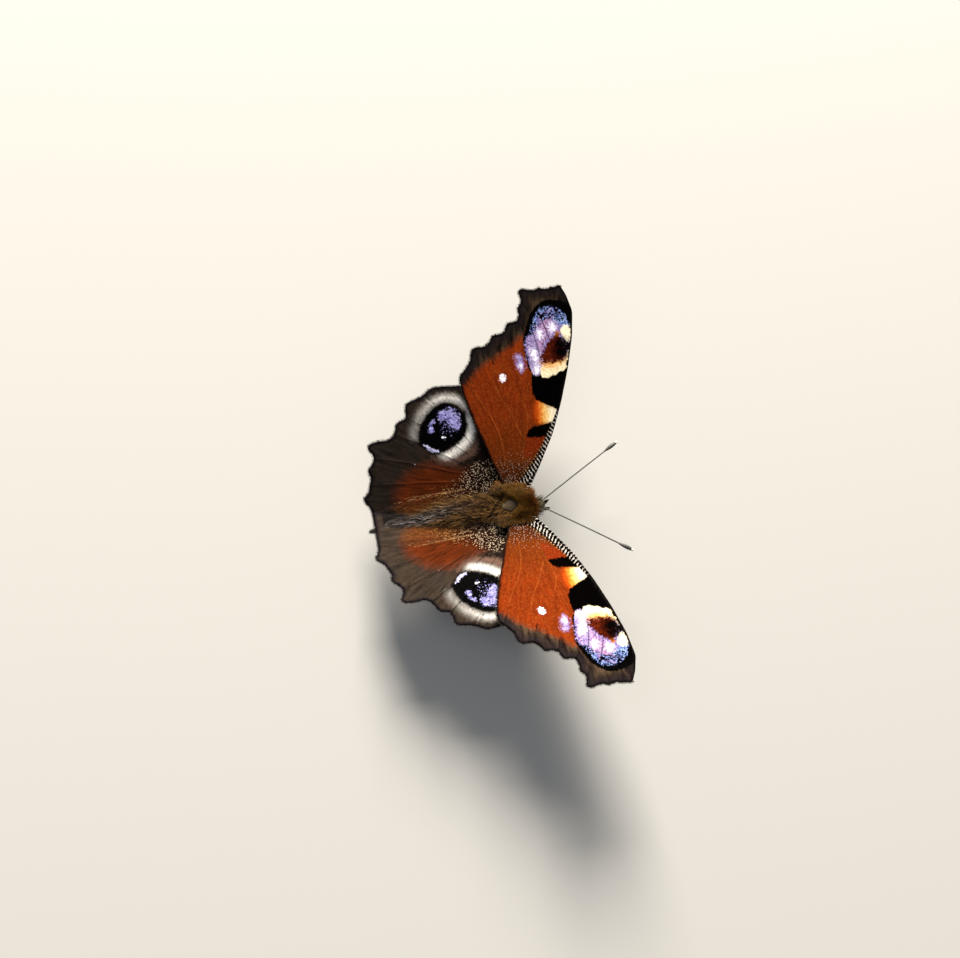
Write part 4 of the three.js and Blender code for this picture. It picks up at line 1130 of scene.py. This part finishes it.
paint = add("Mix", (edge, 0.6, 0.15, 0, 0.9), paint, "#0d0a0f")
grain.finish(shader, paint, field)

# Underside scales: near black, crossed by fine wavy lines like burnt bark, as on the live
# insect; the photo hides this side
under_scales, add, shader = new_material("underside scales")
grain = Scales(add)
waves = add("SINE", add("MULTIPLY_ADD", grain.jitter, 1.2, add("MULTIPLY", grain.out, 9.0)))
bark = add("Mix", (waves, -0.4, 0.8), "#0f0c0b", "#2b2420")
bark = add("Mix", (grain.cloud, 0.4, 0.7, 0, 0.6), bark, "#15110f")
bark = add("Mix", ("margin", 3.2, 2.2, 0, 0.5), bark, "#463a2f")
grain.finish(shader, bark)

# Fine hairs on the wings: golden at the roots, paler in the fold, and a dark fringe
gold_hair = two_shade_hair("golden wing-root hair", "#3a220c", "#a3703a", 1.2)
pale_hair = two_shade_hair("pale gold wing hair", "#6b4a2c", "#c79f74", 1.0)
fringe_hair = two_shade_hair("wing fringe", "#0c0908", "#5f5348", 2.5)


def wing_hair(name, coat, material, matrix, roots, lies, length, width, rise, seed, sway=0.2):
    """Hair rooted on a wing's chart and lying along it, with its length and width in mm."""
    draws = np.random.default_rng(seed)
    count = len(roots)
    turn = np.array(matrix)[:3, :3].T
    ups = np.tile((0.0, 0.0, 1.0), (count, 1))
    lies = np.c_[np.broadcast_to(lies, (count, 2)), np.zeros(count)]
    piece = tufts(f"{name}_{coat}", material,
                  roots @ turn + np.array(matrix)[:3, 3], unit(ups @ turn), unit(lies @ turn),
                  length * draws.uniform(0.65, 1.25, count), width * draws.uniform(0.8, 1.2, count),
                  rise + draws.normal(0, 4, count), roots[:, :2] / CHART_SIDE + (0.15, 0.6), seed, sway)


FUR_EDGE = {"forewing_left": -0.35, "forewing_right": 0.2}
FOLD_EDGE = {"hindwing_left": 0.25, "hindwing_right": -0.1}
SPIKE_OUT = -0.9
FRINGE_STEP = 0.035
FRINGE_LENGTH = 0.27
SHEET_ROOTS = 60000
ROOT_HAIRS = 3600
AXIL_HAIRS = 420
SPIKE_HAIRS = 120
for number, name in enumerate(WINGS):
    matrix = chart_of(name)
    sheet = drawn(name)
    roots, _ = spread_roots(sheet.data, SHEET_ROOTS, 70 + number)
    x, y, _ = roots.T
    draws = np.random.default_rng(80 + number)
    chance = draws.random(len(x))
    pairs, off = rim_of(sheet.data)
    spans = read(sheet.data.vertices, "co", 3)[pairs]
    lengths = np.linalg.norm(spans[:, 1] - spans[:, 0], axis=1)
    fringe_count = int(lengths.sum() / FRINGE_STEP)
    if name in FUR_EDGE:
        out = draws.uniform(-1.35, FUR_EDGE[name], ROOT_HAIRS)
        ahead = draws.uniform(-3.0, 1.9, ROOT_HAIRS)
        base = np.c_[out, ahead, np.full(ROOT_HAIRS, SHEET / 2)][ahead < 1.8 + 0.5 * out]
        lies = np.c_[np.ones(len(base)), np.interp(base[:, 1], (-3, 1.9), (-1.0, 0.3))]
        wing_hair(name, "root_hair", pile, matrix, base, lies, 1.05, 0.04, 30, 90 + number, 0.3)
        out = draws.uniform(-1.2, 0.2, AXIL_HAIRS)
        ahead = -1.35 - 0.7 * np.abs(out + 0.4) ** 0.5 + draws.normal(0, 0.12, AXIL_HAIRS)
        lobe = np.c_[out, ahead, np.full(AXIL_HAIRS, 0.1)]
        lies = np.c_[0.35 + 0.6 * (out > -0.4), np.full(AXIL_HAIRS, -1)]
        wing_hair(name, "axil_hair", gold_hair, matrix, lobe, lies, 1.2, 0.035, 16, 93 + number, 0.2)
        scales = forewing_scales
    else:
        edge = np.interp(y, (-15, -12, -8, -3), (-1.2, -0.55, 0.05, 0.2)) + FOLD_EDGE[name]
        fold = roots[(chance < 2.5 * np.clip(edge - 0.5 - x, 0, 1)) & (y > -15.5)]
        wing_hair(name, "fold_hair", pile, matrix, fold, (0.35, -1), 1.2, 0.035, 14, 90 + number, 0.35)
        line = np.abs(x - np.interp(y, (-13.2, -4.5), (2.05, 1.55)))
        streak = roots[(line < 0.16) & (y < -4.5) & (y > -13.0) & (chance < 0.35)]
        wing_hair(name, "gold_streak", pale_hair, matrix, streak, (0.06, -1), 1.3, 0.035, 4, 100 + number,
                  0.08)
        red = roots[(x > 0.3) & (x < 2.9) & (y < -3.5) & (y > -13.5) & (chance > 0.93)]
        wing_hair(name, "field_hair", gold_hair, matrix, red, (0.04, -1), 1.2, 0.03, 4, 110 + number, 0.1)
        out, ahead = draws.uniform(-0.99, -0.86, SPIKE_HAIRS), draws.uniform(-17.3, -16.6, SPIKE_HAIRS)
        spike = np.c_[out, ahead, np.zeros(SPIKE_HAIRS)]
        lies = np.c_[SPIKE_OUT - out, np.full(SPIKE_HAIRS, -1.6)]
        wing_hair(name, "tail_spike", black_hair, matrix, spike, lies, 1.55, 0.035, 3, 115 + number, 0.04)
        scales = hindwing_scales
    picked = draws.choice(len(pairs), fringe_count, p=lengths / lengths.sum())
    share = draws.random((fringe_count, 1))
    tips = spans[picked, 0] * share + spans[picked, 1] * (1 - share)
    out, ahead = tips[:, 0], tips[:, 1]
    reach = np.full(fringe_count, FRINGE_LENGTH)
    if name in FUR_EDGE:
        outer = (ahead < np.interp(out, (0, 16, 27, 30), (-1.0, 3.0, 9.0, 9.0))) & (out > 9)
    else:
        outer = (out > 0.8) & (ahead < -0.6) & (ahead < 2 - out * 0.1) | (ahead < -16.5)
        reach += 0.8 * (out < 0.2) * np.clip((0.6 - np.abs(out - SPIKE_OUT)) / 0.6, 0, 1)
    wing_hair(name, "fringe", fringe_hair, matrix, tips[outer], off[picked][outer, :2], reach[outer],
              0.025, 0, 105 + number, 0.12)
    sheet.data.materials.append(scales)
    sheet.data.materials.append(under_scales)
    sheet.data.transform(matrix)
    finished(sheet, ("SOLIDIFY", {"thickness": SHEET * MM, "offset": 0.0, "material_offset": 1}))
    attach(sheet, "root")
    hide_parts(name)
